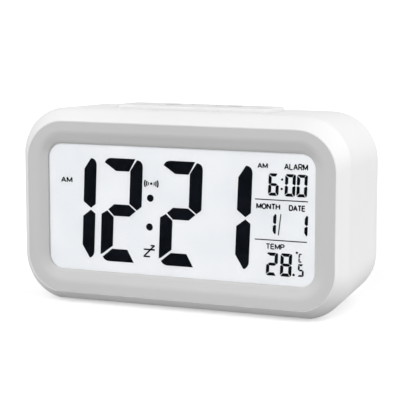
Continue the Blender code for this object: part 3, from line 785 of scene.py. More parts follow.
def segments(width, height, stroke):
    """The seven segments of a digit that stands on z = 0, by their usual letters."""
    s, w, h, m = stroke, width, height, height / 2
    bar = 0.95 * s

    def curved(*points):
        return bend(*points, 4)

    right_top = [
        (w - s, h - bar), (w - 0.46 * s, h - 0.1 * s),
        *curved((w - 0.4 * s, h - 0.1 * s), (w - 0.03 * s, h - 0.16 * s), (w, h - 0.6 * s)),
        (w, m + 0.42 * s), (w - 0.36 * s, m + 0.13 * s), (w - s, m + 0.6 * s),
    ]
    left_top = [
        (0, h - 0.55 * s), (0.12 * s, h - 0.6 * s), (s, h - 1.28 * s), (s, m + 0.6 * s),
        (0.45 * s, m + 0.12 * s), (0, m + 0.4 * s),
    ]
    top = [
        (0.18 * s, h - 0.31 * s), *curved((0.26 * s, h - 0.18 * s), (0.45 * s, h), (0.7 * s, h)),
        (w - 0.7 * s, h), (w - 1.19 * s, h - bar), (1.16 * s, h - bar),
    ]
    middle = [
        (0.62 * s, m + 0.03 * s), (1.08 * s, m + 0.43 * s), (w - 1.1 * s, m + 0.43 * s),
        (w - 0.53 * s, m), (w - 1.03 * s, m - 0.43 * s), (1.1 * s, m - 0.43 * s),
    ]
    right_low = [
        (w - s, m - 0.65 * s), (w - 0.36 * s, m - 0.15 * s), (w, m - 0.42 * s),
        *curved((w, 0.66 * s), (w, 0.4 * s), (w - 0.26 * s, 0.19 * s)),
        (w - 0.34 * s, 0.19 * s), (w - s, 1.2 * s),
    ]
    left_low = [(x, h - z) for x, z in left_top]
    bottom = [
        (0.22 * s, 0.28 * s), (1.02 * s, bar), (w - 1.14 * s, bar), (w - 0.57 * s, 0.0),
        *curved((0.75 * s, 0.0), (0.5 * s, 0.0), (0.3 * s, 0.18 * s)),
    ]
    return dict(zip("abcdefg", (top, right_top, right_low, bottom, left_low, left_top, middle)))


def digit(figure, right, base, size, depths, slant=DIGIT_SLANT):
    """One figure's lit segments, by its right-hand edge at mid height and its base."""
    width, height, stroke = size
    shapes = segments(width, height, stroke)
    made = []
    for letter in LIT[figure]:
        outline = [(right - width + x + slant * (z - height / 2), base + z) for x, z in shapes[letter]]
        made.append(flat(grown(outline, 0.05 * stroke), depths))
    return made


def grown(outline, by):
    """A closed outline of (x, z) points moved out along its corners' mean normals."""
    points = [Vector(point) for point in outline]
    area = sum(a.x * b.y - b.x * a.y for a, b in zip(points, points[1:] + points[:1]))
    way = by if area > 0 else -by
    found = []
    for before, point, after in zip(points[-1:] + points[:-1], points, points[1:] + points[:1]):
        sides = [Vector((edge.y, -edge.x)).normalized() for edge in (point - before, after - point)]
        mean = (sides[0] + sides[1]).normalized()
        found.append(tuple(point + mean * way / max(0.6, mean.dot(sides[0]))))
    return found


def stroke_of(points, thick, depths):
    """A line of even thickness through (x, z) points."""
    points = [Vector(point) for point in points]
    left, right = [], []
    for number, point in enumerate(points):
        ahead = points[min(number + 1, len(points) - 1)] - points[max(number - 1, 0)]
        side = Vector((-ahead.y, ahead.x)).normalized() * thick / 2
        left.append(point + side)
        right.append(point - side)
    return flat([tuple(point) for point in left + right[::-1]], depths)


def letters():
    """Plain capitals as strokes: corner points in a cell one wide and one tall, and how wide the cell is."""
    bowl = bend((0.55, 1.0), (1.0, 1.0), (1.0, 0.75), 3) + bend((1.0, 0.75), (1.0, 0.47), (0.55, 0.47), 3)
    round_side = bend((0.45, 1.0), (1.0, 1.0), (1.0, 0.5), 5) + bend((1.0, 0.5), (1.0, 0.0), (0.45, 0.0), 5)
    oval = arc((0.5, 0.5), 0.5, 0, 360, 12)
    left, right = ((0, 0), (0, 1)), ((1, 0), (1, 1))
    return {
        "A": (0.9, (((0, 0), (0.5, 1)), ((1, 0), (0.5, 1)), ((0.2, 0.33), (0.8, 0.33)))),
        "D": (0.85, (left, ((0, 1), *round_side, (0, 0)))),
        "E": (0.72, (left, ((0, 1), (1, 1)), ((0, 0.52), (0.92, 0.52)), ((0, 0), (1, 0)))),
        "H": (0.82, (left, right, ((0, 0.52), (1, 0.52)))),
        "L": (0.68, (((0, 1), (0, 0)), ((0, 0), (1, 0)))),
        "M": (1.0, (left, ((0, 1), (0.5, 0.1)), ((0.5, 0.1), (1, 1)), ((1, 1), (1, 0)))),
        "N": (0.82, (left, ((0, 1), (1, 0)), right)),
        "O": (0.92, (oval,)),
        "P": (0.76, (left, ((0, 1), *bowl, (0, 0.47)))),
        "R": (0.8, (left, ((0, 1), *bowl, (0, 0.47)), ((0.5, 0.47), (1, 0)))),
        "T": (0.78, (((0, 1), (1, 1)), ((0.5, 1), (0.5, 0)))),
    }


def lettering(word, x, z, thick, depths):
    """A word in plain capitals that fills the spans of x and z."""
    shapes, gap = letters(), 0.3
    total = sum(shapes[letter][0] for letter in word) + gap * (len(word) - 1)
    scale, across = (x[1] - x[0] - thick) / total, x[0] + thick / 2
    low, tall = z[0] + thick / 2, z[1] - z[0] - thick
    made = []
    for letter in word:
        wide, lines = shapes[letter]
        for line in lines:
            points = [(across + wide * scale * u, low + tall * v) for u, v in line]
            made.append(stroke_of(points, thick, depths))
        across += (wide + gap) * scale
    return made


def arc(centre, radius, start, end, steps=8):
    """Points on an arc between two turns in degrees."""
    turns = [math.radians(start + (end - start) * step / steps) for step in range(steps + 1)]
    return on_circle(centre, radius, turns)


def dot(centre, radius, depths, sides=24):
    """A printed dot."""
    return flat(arc(centre, radius, 0, 360 * (1 - 1 / sides), sides - 1), depths)


def build_display():
    """The liquid-crystal panel and the figures, words and signs that it shows."""
    low, high = span("lcd_panel")
    low.y = LENS_BACK + 0.06
    centre = ((low.x + high.x) / 2, (low.z + high.z) / 2)
    outline = panel((high.x - low.x) / 2, (high.z - low.z) / 2, 0.5, centre)
    film, glass = 0.2, 0.05
    layers = [
        *reversed(rim(low.y, 0.06, -0.06, 2)),
        (low.y + film, 0.0),
        (low.y + film + glass, -glass),
        (low.y + film + 2 * glass, 0.0),
        (high.y - film, 0.0),
        *rim(high.y, 0.06, 0.06, 2),
    ]
    piece("lcd_panel", drawn(outline, layers), "display_glass")

    ink = (low.y - 0.07, low.y - 0.01)
    big = (DIGIT_WIDTH, DIGIT_HEIGHT, DIGIT_STROKE)
    shapes = []
    for figure, right in (("1", -35.5), ("2", -15.85), ("2", 9.0)):
        shapes += digit(figure, right, DIGIT_BASE, big, ink)
    shapes += digit("1", 28.95, DIGIT_BASE, (*big[:2], DIGIT_STROKE + 0.35), ink)
    for x, z in ((-11.85, 5.0), (-12.25, -6.2)):
        shapes.append(dot((x, z), 1.4, ink))

    small, smaller = (4.0, 8.25, 1.1), (4.4, 8.6, 1.15)
    for figure, right in (("6", 40.2), ("0", 46.7), ("0", 51.3)):
        shapes += digit(figure, right, 8.65, small, ink)
    for z in (11.3, 14.8):
        shapes.append(dot((41.45 + DIGIT_SLANT * (z - 12.7), z), 0.44, ink, 12))
    for figure, right in (("2", 39.95), ("8", 45.5)):
        shapes += digit(figure, right, -21.4, smaller, ink)
    shapes.append(dot((46.3, -20.6), 0.5, ink, 12))
    shapes += digit("5", 50.25, -21.1, (2.3, 4.7, 0.68), ink)
    shapes += digit("C", 49.7, -15.75, (1.5, 3.3, 0.48), ink)
    shapes.append(dot((47.5, -12.2), 0.45, ink, 12))
    for right, base in ((39.25, -5.95), (51.6, -5.92)):
        shapes += digit("1", right, base, (4.1, 7.8, 1.15), ink)
    shapes.append(stroke_of(((40.2, -6.1), (41.15, 1.9)), 0.38, ink))
    shapes.append(stroke_of(((30.9, 7.05), (51.67, 7.05)), 0.38, ink))
    shapes.append(stroke_of(((30.9, -8.05), (51.35, -8.05)), 0.38, ink))

    words = (
        ("AM", (-50.2, -45.2), (9.3, 11.6), 0.46),
        ("AM", (31.8, 35.9), (18.6, 20.7), 0.42),
        ("ALARM", (42.3, 51.55), (18.45, 20.9), 0.44),
        ("MONTH", (31.4, 40.85), (3.35, 5.65), 0.48),
        ("DATE", (44.2, 50.7), (3.25, 5.55), 0.48),
        ("TEMP", (35.3, 42.7), (-11.55, -9.35), 0.42),
    )
    for word, x, z, thick in words:
        shapes += lettering(word, x, z, thick, ink)
    wave = (-11.42, 10.6)
    shapes.append(dot(wave, 0.5, ink, 16))
    for side in (0, 180):
        for radius, thick in ((1.25, 0.42), (2.0, 0.5), (2.8, 0.6)):
            shapes.append(stroke_of(arc(wave, radius, side - 28, side + 28), thick, ink))
    rest_sign = (
        ((-11.8, -13.4), (-10.1, -13.4)),
        ((-10.2, -13.35), (-14.6, -17.65)),
        ((-14.7, -14.95), (-10.1, -15.0)),
        ((-14.8, -17.75), (-12.1, -17.75)),
    )
    shapes += [stroke_of(points, 0.6, ink) for points in rest_sign]
    print_mesh = moved(together(shapes), Matrix.Translation(PRINT_SHIFT))
    piece("lcd_panel", print_mesh, "display_ink", "display_print")


# ---- behind the display ------------------------------------------------------------------------


def build_carrier():
    """The frame that holds the display, the light guide and its lamps, and the connector strip."""
    low, high = span("display_carrier")
    opening_low, opening_high = span("lcd_panel")
    gap = Vector((0.3, 9.0, 0.3))
    window = plate(opening_low - gap, opening_high + gap, 0.5, 0.1)
    pilot = ((8.0, 0.95), (high.y - 0.2, 0.95), (high.y, 1.2), (high.y + 1, 1.2))
    pilots = [turned_through(middle(f"board_screw_{side}"), pilot, 24) for side in SIDES]
    walls = carved(plate(low, high, 1.2, 0.2), ("DIFFERENCE", window), ("DIFFERENCE", pilots))
    piece("display_carrier", walls, "inner_white")

    piece("light_guide", plate(*span("light_guide"), 0.8, 0.25), "acrylic")
    piece("reflector_sheet", plate(*span("reflector_sheet"), 0.8, 0.05), "white_film")
    piece("zebra_strip", plate(*span("zebra_strip"), 0.3, 0.2), "rubber_black")
    for lamp in ("backlight_lamp_left", "backlight_lamp_right"):
        piece(lamp, plate(*span(lamp), 0.3, 0.15), "lamp_yellow")


def dome(centre, radius, height, way="y", sides=24, steps=6):
    """A low dome that stands on a plane: its centre is the middle of its base."""
    turns = [math.pi / 2 * step / steps for step in range(steps)]
    return turned(centre, [(height * math.sin(turn), radius * math.cos(turn)) for turn in turns], way, sides)


def solder(name, node, places, radius=0.75, way="y"):
    """Solder joints on a board's face."""
    joints = [dome(place, radius, 0.42, way, 20) for place in places]
    piece(node, together(joints), "solder", name)


def beyond(start, *steps):
    """Profile pairs given by their distance from a start."""
    return [(start + along, size) for along, size in steps]


def build_main_board():
    """The main board, its two screws and the parts that stand on it."""
    low, high = span("main_board")
    hole = ((low.y - 1, 1.05), (high.y + 1, 1.05))
    holes = [turned_through(middle(f"board_screw_{side}"), hole, 24) for side in SIDES]
    piece("main_board", carved(plate(low, high, 1.0, 0.06), ("DIFFERENCE", holes)), "board_green")
    face = high.y

    for side in SIDES:
        start, end = span(f"board_screw_{side}")
        centre = (start + end) / 2
        profile = [(start.y, 0.2)]
        for turn in range(10):
            profile += beyond(start.y + 0.5 * turn, (0.5, 0.5), (0.75, 0.65))
        head = (-1.0, 0.6), (-1.0, 1.42), (-0.9, 1.5), (-0.55, 1.45), (-0.2, 1.15), (0, 0.6)
        profile += beyond(end.y, *head)
        screw = carved(turned_through(centre, profile, 32), ("DIFFERENCE", cross(centre, end.y, 0.95, 0.26)))
        piece(f"board_screw_{side}", screw, "steel")

    start, end = span("controller_blob")
    centre, radius = (start + end) / 2, (end.x - start.x) / 2
    profile = [(start.y, radius - 0.15)]
    for turn in range(10):
        rise = (end.y - start.y) * math.sin(turn / 9 * math.pi / 2)
        profile.append((start.y + rise, radius * math.cos(turn / 10 * math.pi / 2)))
    piece("controller_blob", turned_through(centre, profile, 56), "epoxy_black")

    start, end = span("crystal")
    centre, radius = (start + end) / 2, (end.z - start.z) / 2
    neck = radius - 0.12
    can = beyond(start.x, (0, radius - 0.3), (0.1, neck), (0.3, neck), (0.35, radius))
    can += rim_of(end.x, radius, 0.35)
    shapes = [turned((0, centre.y, centre.z), can, "x", 32)]
    for z in (centre.z - 0.4, centre.z + 0.4):
        pin = (start.x + 0.2, centre.y, z), (start.x - 0.9, centre.y, z), (start.x - 1.4, face, z)
        shapes.append(swept(pin, 0.14))
    piece("crystal", together(shapes), "steel")

    start, end = span("thermistor")
    centre = (start + end) / 2
    bead = beyond(end.y, (-2.1, 0.25), (-1.9, 0.8), (-1.4, 1.15), (-0.8, 1.2), (-0.3, 0.9), (0, 0.3))
    pins = []
    for side in (-0.5, 0.5):
        path = ((side, start.y - 0.2), (side, start.y + 1.5), (side / 2, end.y - 1.6))
        pins.append(swept([(centre.x + aside, y, centre.z) for aside, y in path], 0.16))
    piece("thermistor", turned_through(centre, bead, 28), "epoxy_black")
    piece("thermistor", together(pins), "solder", "thermistor_pins")

    start, end = span("buzzer")
    centre, radius = (start + end) / 2, (end.x - start.x) / 2
    drum = [(start.y, radius - 0.1), (start.y + 0.1, radius), *rim_of(end.y, radius, 0.4)]
    drum += beyond(end.y, (0, 2.3), (-0.25, 2.2), (-0.25, 1.15), (-0.4, 1.0), (-2.4, 1.0))
    piece("buzzer", turned_through(centre, drum, 56), "switch_black")

    ends = ((34, -14), (-24, -14), (13, 20), (-22.9, 17.4), (-17.2, 17.4), (52.4, -18), (53.6, -18))
    ends += ((4.6, 16.4), (4.6, 15.6), (31.5, -14), (-21.5, -14))
    solder("main_board_solder", "main_board", [(x, face, z) for x, z in ends], 0.55)


def cross(centre, face, reach, half):
    """The cross recess in a screw's head, narrower at its floor."""
    arms = []
    for across, up in ((reach, half), (half, reach)):
        ends = []
        for depth, wide, tall in ((face - 0.95, 0.55 * across, 0.6 * up), (face + 0.2, across, up)):
            corners = ((wide, -tall), (wide, tall), (-wide, tall), (-wide, -tall))
            ends.append([Vector((centre.x + x, depth, centre.z + z)) for x, z in corners])
        arms.append(loft(ends))
    return carved(arms[0], ("UNION", arms[1]))


# ---- the controls ------------------------------------------------------------------------------


def tactile_switch(name, way="y", within=None):
    """A square switch with a steel cover held by four pegs, and its round plunger."""
    place = within or Matrix.Identity(4)
    start, end = span(f"{name}_switch", within)
    stem_start, stem_end = span(f"{name}_plunger", within)
    centre = (start + end) / 2
    axis, flat_axes = {"y": (1, (0, 2)), "z": (2, (0, 1))}[way]
    spot = (centre[flat_axes[0]], centre[flat_axes[1]])
    base, top = start[axis], end[axis]
    half, bore, peg_aside = (end.x - start.x) / 2, 1.95, 2.15

    shape = [*reversed(rim(base, 0.15, -0.15, 3)), *beyond(top, (-0.45, 0), (-0.45, -0.12), (-0.4, -0.12))]
    body = drawn(panel(half, half, 0.5, spot), shape, way)
    lid = beyond(top, (-0.4, -0.05), (-0.12, -0.05), (-0.08, -0.1))
    cover = drawn(panel(half, half, 0.45, spot), lid, way)
    pegs = []
    for u in (-peg_aside, peg_aside):
        for v in (-peg_aside, peg_aside):
            peg = disc(0.42, (spot[0] + u, spot[1] + v), 16)
            pegs.append(drawn(peg, beyond(top, (-0.45, 0), (-0.03, 0), (0, -0.1)), way))
    bores = [drawn(disc(bore, spot, 32), [(base + 0.9, 0), (top + 1, 0)], way) for _ in range(2)]
    body = carved(body, ("DIFFERENCE", bores[0]), ("UNION", pegs))
    piece(f"{name}_switch", moved(body, place), "switch_black")
    piece(f"{name}_switch", moved(carved(cover, ("DIFFERENCE", bores[1])), place), "steel", f"{name}_cover")

    radius = (stem_end.x - stem_start.x) / 2
    stem = drawn(disc(radius, spot, 32), [(stem_start[axis], 0), *rim(stem_end[axis], 0.25, 0.25)], way)
    piece(f"{name}_plunger", moved(stem, place), "plunger_white")


def build_rear_controls():
    """The key board with its five keys and switches, and the slide switch with its knob."""
    low, high = span("key_board")
    piece("key_board", plate(low, high, 1.0, 0.06), "board_green")
    joints = []
    for name in BUTTONS:
        centre = middle(f"button_{name}")
        tactile_switch(f"key_{name}")
        joints += [(centre.x + u, high.y, centre.z + v) for u in (-3.5, 3.5) for v in (-2.2, 2.2)]

        start, end = span(f"button_{name}")
        flange = (end.x - start.x) / 2
        radius = flange - 1.1
        profile = beyond(start.y, (0, flange - 0.1), (0.1, flange), (0.7, flange), (0.8, flange - 0.1))
        profile += beyond(start.y, (0.8, radius + 0.15), (0.95, radius))
        profile += rim_of(end.y, radius, 0.5, 6)
        dish = (-0.02, radius - 0.9), (-0.09, radius - 1.3), (-0.14, radius - 2.0), (-0.16, 0.3)
        profile += beyond(end.y, *dish)
        piece(f"button_{name}", turned_through(centre, profile, 56), "button_white")
    solder("key_board_solder", "key_board", joints, 0.5)

    start, end = span("slide_switch")
    body = plate(start, end, 0.3, 0.12)
    cover_low, cover_high = (start.x + 0.5, end.y - 0.02, start.z + 0.25), (end.x - 0.5, end.y + 0.2, end.z - 0.25)
    cover = plate(cover_low, cover_high, 0.3, 0.06)
    for shape, look, name in ((body, "switch_black", None), (cover, "steel", "slide_switch_cover")):
        slot = block((start.x + 1.6, end.x - 1.6), (start.y + 1.2, end.y + 1), (start.z + 1.2, end.z - 1.2))
        piece("slide_switch", carved(shape, ("DIFFERENCE", slot)), look, name)

    start, end = span("light_switch_knob")
    centre = (start + end) / 2

    def layer(half_x, half_z, depths, radius, edge):
        """One plate of the knob, centred on it."""
        low, high = ((centre.x + way * half_x, y, centre.z + way * half_z) for way, y in zip((-1, 1), depths))
        return plate(low, high, radius, edge)

    stem = layer(0.9, 0.9, (start.y, 42.2), 0.25, 0.15)
    flange = layer((end.x - start.x) / 2, (end.z - start.z) / 2, (41.9, 42.7), 0.5, 0.15)
    cap = layer(2.2, 1.35, (42.3, end.y), 0.4, 0.3)
    grooves = []
    for x in (-1.35, -0.45, 0.45, 1.35):
        across = (centre.x + x - 0.22, centre.x + x + 0.22)
        grooves.append(block(across, (end.y - 0.3, end.y + 1), (centre.z - 2, centre.z + 2)))
    knob = carved(cap, ("UNION", flange), ("UNION", stem), ("DIFFERENCE", grooves))
    piece("light_switch_knob", knob, "switch_black")


def rear_icons():
    """Thin pad-printed marks above the controls."""
    depths = (DEPTH - 0.01, DEPTH + 0.03)
    height = middle("button_set").z + 5.9
    at = {name: middle(f"button_{name}").x for name in BUTTONS}
    marks = []
    for rise in (-0.8, 0, 0.8):
        ends = [(at["mode"] + side, height + rise) for side in (-1.1, 1.1)]
        marks.append(stroke_of(ends, 0.35, depths))
    marks += [ring((at["set"], height), 1.1, 0.35, depths), dot((at["set"], height), 0.4, depths)]
    for name, way in (("up", 1), ("down", -1)):
        triangle = ((-1.2, -0.9), (1.2, -0.9), (0, 1.1))
        marks.append(flat([(at[name] + across, height + rise * way) for across, rise in triangle], depths))
    x = at["alarm"]
    crown = arc((x, height + 0.35), 0.8, 180, 0)
    left, right = ([(x + 1.25 * way, height - 0.75), (x + 0.85 * way, height - 0.4)] for way in (-1, 1))
    marks += [flat([*left, *crown, *right[::-1]], depths), dot((x, height - 1.05), 0.28, depths)]
    marks += sun((middle("slide_switch").x, height), 0.6, depths)
    piece("rear_housing", together(marks), "print_grey", "rear_print")


def ring(centre, radius, thick, depths, sides=32):
    """A printed circle line."""
    low, high = depths
    profile = [(low, thick / 2), (high, thick / 2), (high, -thick / 2), (low, -thick / 2)]
    return drawn(disc(radius, centre, sides), profile, ring=True)


def sun(centre, radius, depths):
    """A printed dot with eight rays."""
    marks = [dot(centre, radius, depths)]
    for number in range(8):
        ray = Vector((math.cos(number * math.pi / 4), math.sin(number * math.pi / 4)))
        inner, outer = Vector(centre) + ray * radius * 1.5, Vector(centre) + ray * radius * 2.2
        marks.append(stroke_of((inner, outer), radius * 0.4, depths))
    return marks


# ---- rear housing ------------------------------------------------------------------------------


def way_out(outline, edge=0.3):
    """A cut through the back wall, with a rounded mouth."""
    return drawn(outline, [(41.0, 0), *rim(DEPTH, -edge, edge), (DEPTH + 1, edge)])


def build_rear_housing():
    """The rear housing: a shell with the battery bay, posts and ribs, and all its openings."""
    front, round_off = PART_LINE + 0.1, DEPTH - REAR_Y
    edge = []
    for turn in (math.pi / 2 * step / 8 for step in range(1, 9)):
        edge.append(case_loop(REAR, REAR_Y + round_off * math.sin(turn), round_off * (1 - math.cos(turn))))
    shell = loft([
        case_loop(REAR, DEPTH - WALL, 3.0),
        case_loop(REAR, REAR_Y, WALL),
        case_loop(case_size(front), front, WALL),
        case_loop(case_size(front), front, 0.1),
        case_loop(case_size(front + 0.1), front + 0.1),
        case_loop(REAR, REAR_Y),
        *edge,
    ])

    cells_low = min(span(name)[0].z for name in CELLS) - 0.35
    door_high = span("battery_door")[1]
    bay_half, bay_top, bay_floor = 26.2, 2.9, 30.5
    bay_wall = bay_half + 2.4
    bay = plate((-bay_wall, bay_floor - 1.5, -34.6), (bay_wall, DEPTH - 1.5, bay_top + 2.0), 1.5, 0.4)
    centres = [middle(name) for name in SCREWS]
    posts = [turned_through(centre, ((8.9, 3.1), (9.1, 3.3), (DEPTH - 1, 3.3)), 32) for centre in centres]
    board_low, board_high = span("key_board")
    ribs = [
        block((x, x + 1.6), (33.0, DEPTH - 1), (board_low.z - 1.5, board_high.z - 2.5))
        for x in (board_low.x - 1.9, board_high.x + 0.3)
    ]

    hollow = plate((-bay_half, bay_floor, cells_low), (bay_half, DEPTH + 2, bay_top), 1.0, 0.5)
    opening = drawn(
        panel(door_high.x + 0.2, (DOOR_TOP - DOOR_BOTTOM) / 2 + 0.2, 1.7, (0, (DOOR_TOP + DOOR_BOTTOM) / 2)),
        [(DEPTH - 2.3, 0), *rim(DEPTH, -0.25, 0.25), (DEPTH + 1, 0.25)],
    )
    pockets = [block((x - 2.3, x + 2.3), (40.9, DEPTH - 2), (-32.9, -29.6)) for x in HOOKS_X]
    finger = drawn(
        panel(6.0, 3.6, 1.6, (0, door_high.z - 2.0)),
        [(43.8, -0.3), (44.1, 0), *rim(DEPTH, -0.35, 0.35), (DEPTH + 1, 0.35)],
    )

    shaft = [(7.9, 1.4), (SCREW_SEAT, 1.4), (SCREW_SEAT, 2.35), (44.7, 2.35), (44.9, 2.45)]
    shaft += [(DEPTH, 2.65), (46, 2.65)]
    holes = [turned_through(centre, shaft, 32) for centre in centres]
    for name in BUTTONS:
        centre = middle(f"button_{name}")
        holes.append(way_out(disc(3.45, (centre.x, centre.z), 56)))
    knob, travel = middle("slide_switch"), 1.5
    holes.append(way_out(panel(2.5 + travel, 1.6, 0.5, (knob.x, knob.z))))
    holes += [way_out(panel(6.0, 0.6, 0.6, (-42, z)), 0.25) for z in (-14, -11, -8, -5, -2)]

    bar_hole = drawn(
        panel(BAR_HALF[0] + 0.2, BAR_HALF[1] + 0.2, BAR_RADIUS + 0.2, steps=14),
        [(-4, 0), *rim(0, -0.25, 0.25), (3, 0.25)],
        "z",
    )
    seat = ((-1, 4.35), (0.0, 4.35), (0.15, 4.2), (0.85, 4.2))
    recesses = [turned(middle(foot, UNDER) * Vector((1, 1, 0)), seat, "z") for foot in FEET]
    shell = carved(
        shell,
        ("UNION", bay),
        ("UNION", posts),
        ("UNION", ribs),
        ("DIFFERENCE", hollow),
        ("DIFFERENCE", opening),
        ("DIFFERENCE", pockets),
        ("DIFFERENCE", finger),
        ("DIFFERENCE", holes),
        ("DIFFERENCE", moved(bar_hole, TOP)),
        ("DIFFERENCE", moved(together(recesses), UNDER)),
    )
    piece("rear_housing", shell, "case_white")


def build_fasteners():
    """The four housing screws."""
    for node in SCREWS:
        start, end = span(node)
        centre = (start + end) / 2
        profile = beyond(start.y, (0, 0.25), (0.6, 0.7))
        for turn in range(9):
            profile += beyond(start.y + 0.8 * turn, (0.8, 0.8), (1.2, 1.05))
        head = (-1.5, 0.85), (-1.5, 1.85), (-1.4, 1.95), (-0.9, 1.9), (-0.4, 1.6), (-0.1, 1.1), (0, 0.6)
        profile += beyond(end.y, *head)
        screw = turned_through(centre, profile)
        piece(node, carved(screw, ("DIFFERENCE", cross(centre, end.y, 1.25, 0.32))), "steel")


def build_feet():
    """The four rubber feet, each with a raised ring round a shallow dish."""
    for node in FEET:
        low, high = span(node, UNDER)
        radius = (high.x - low.x) / 2
        ring_of = (0.12, -1.2), (0.12, -1.1), (0, -0.95), (0, -0.35), (0.1, -0.1), (0.35, 0)
        profile = [(low.z + rise, radius + grow) for rise, grow in ring_of] + [(high.z, radius)]
        foot = turned((low + high) / 2 * Vector((1, 1, 0)), profile, "z", 56)
        piece(node, moved(foot, UNDER), "foot_rubber")


# ---- batteries ---------------------------------------------------------------------------------


def build_door():
    """The battery door with its two hooks, finger tongue, grip grooves and arrow."""
    low, high = span("battery_door")
    door = plate((low.x, DEPTH - 2, DOOR_BOTTOM), (high.x, DEPTH, DOOR_TOP), 1.5, 0.25)
    hook = ((43.4, -30.3), (43.4, -27.5), (41.75, -27.5), (41.6, -27.65), (41.6, -32.25), (41.75, -32.4))
    hook += ((42.55, -32.4), (42.7, -32.25), (42.7, -30.3))
    hooks = [loft([[Vector((x + wide, y, z)) for y, z in hook] for wide in (-2, 2)]) for x in HOOKS_X]
    tongue = plate((-5.0, 44.1, DOOR_TOP - 3), (5.0, DEPTH, high.z), 1.0, 0.2)
    bands = [((-3.4, DEPTH - 0.3, z - 0.35), (3.4, DEPTH + 1, z + 0.35)) for z in (1.6, 3.2, 4.8)]
    grooves = [plate(*band, 0.34, 0.02) for band in bands]
    arrow = flat([(-1.8, -1.2), (1.8, -1.2), (0, -3.9)], (DEPTH - 0.25, DEPTH + 1))
    door = carved(door, ("UNION", hooks), ("UNION", tongue), ("DIFFERENCE", [*grooves, arrow]))
    piece("battery_door", door, "case_white")


def build_cells():
    """The three cells: a steel can with its raised terminal, and the sleeve round it."""
    for name, positive in CELLS.items():
        low, high = span(name)
        centre, radius = (low + high) / 2, (high.z - low.z) / 2
        way = 1 if positive == "right" else -1
        half = (high.x - low.x) / 2
        shoulder = half - 1.2
        can = beyond(-half, (0, 3.4), (0.02, 4.3), (0.2, 4.75))
        can += beyond(shoulder, (-0.15, 4.75), (0, 4.5), (0, 2.1), (0.15, 1.95)) + rim_of(half, 1.9, 0.3)
        shape = turned(centre, [(way * along, size) for along, size in can], "x", 48)
        piece(name, shape, "steel", f"{name}_can")
        wrap = beyond(-half, (0.15, 4.4), (0.06, 4.8), (0.2, 5.15), (0.5, radius))
        wrap += beyond(shoulder, (-0.4, radius), (-0.1, 5.15), (0.04, 4.8), (-0.05, 4.4))
        wrap = [(way * along, size) for along, size in wrap]
        sleeve_mesh = moved(drawn(disc(0.0, sides=56), wrap, "x", ring=True), Matrix.Translation(centre))
        piece(name, sleeve_mesh, f"cell_sleeve_{positive}")


def build_contacts():
    """The four battery contacts: sprung plates with a dimple or a coil for each cell they touch."""
    bottom, centre, top = (middle(name) for name in CELLS)
    low, high = span("cell_middle")
    reach = CONTACT_FACE - (high.x - low.x) / 2 - 0.3
    plan = {
        "contact_positive": (1, ((bottom, "dimple"),)),
        "contact_bridge_left": (-1, ((bottom, "spring"), (centre, "dimple"))),
        "contact_bridge_right": (1, ((centre, "spring"), (top, "dimple"))),
        "contact_negative": (-1, ((top, "spring"),)),
    }
    for node, (side, bosses) in plan.items():
        low, high = span(node)
        start, end = sorted((side * CONTACT_FACE, side * CONTACT_BACK))
        shapes = [plate((start, low.y, low.z), (end, high.y, high.z), 0.9, 0.1, "x")]
        for cell, kind in bosses:
            if kind == "dimple":
                profile = [(0.1, 2.6), (-0.4, 2.35), (-reach + 0.5, 1.9), (-reach + 0.15, 1.6), (-reach, 1.1)]
                profile = [(side * along, radius) for along, radius in profile]
                shapes.append(turned((side * CONTACT_FACE, cell.y, cell.z), profile, "x"))
                continue
            coils, steps = 3.3, 72
            points = []
            for step in range(steps + 1):
                share = step / steps
                turn = 2 * math.pi * coils * share
                radius = 2.85 - 0.85 * share
                along = CONTACT_FACE - 0.3 - (reach - 0.65) * max(0.0, (share - 0.12)) / 0.88
                points.append((side * along, *on_circle((cell.y, cell.z), radius, [turn])[0]))
            shapes.append(swept(points, 0.33, 10))
        piece(node, together(shapes), "nickel")


# ---- wiring ------------------------------------------------------------------------------------


def build_wiring():
    """The two battery leads, the snooze lead and the ribbon cable with its seven cores."""
    face = span("main_board")[1].y + 0.3
    red = ((29.2, 36, -25), (31, 35.8, -24.6), (33.5, 33, -22), (34, 27, -18), (34, 21, -15), (34, 17, -14))
    black = ((-29.2, 36, -2.8), (-31, 35.8, -3), (-33, 32, -5), (-31, 27, -9), (-26, 21, -13), (-24, 17, -14))
    grey = ((10, 24.5, 26.1), (10, 24.3, 24.2), (10.5, 22, 21), (12, 18.5, 19.8), (13, 16, 20))
    leads = (
        ("battery_lead_red", "wire_red", red),
        ("battery_lead_black", "wire_black", black),
        ("snooze_lead", "wire_grey", grey),
    )
    for node, look, points in leads:
        x, _, z = points[-1]
        piece(node, swept(smooth([*points, (x, face, z)], 10), 0.65, 16), look)

    low, high = span("ribbon_cable")
    cores, half, thick, steps = 7, (high.x - low.x) / 2, 0.3, 32
    pitch = 2 * half / cores
    sag, middle_x, start_z = 3.0, (low.x + high.x) / 2, middle("slide_switch").z - 1
    section = []
    for number in range(cores):
        for turn in range(6):
            angle = math.pi * (turn + 0.5) / 6
            across = -half + pitch * (number + 0.5) - pitch / 2 * math.cos(angle)
            section.append((across, 0.1 + (thick - 0.1) * math.sin(angle)))
    section += [(x, -z) for x, z in reversed(section)]
    loops = []
    for step in range(steps + 1):
        share = step / steps
        y = low.y + (high.y - low.y) * share
        z = start_z - sag * math.sin(math.pi * share)
        loops.append([Vector((middle_x + x, y, z + dz)) for x, dz in section])
    piece("ribbon_cable", loft(loops), "wire_grey")


# ---- the whole clock ---------------------------------------------------------------------------


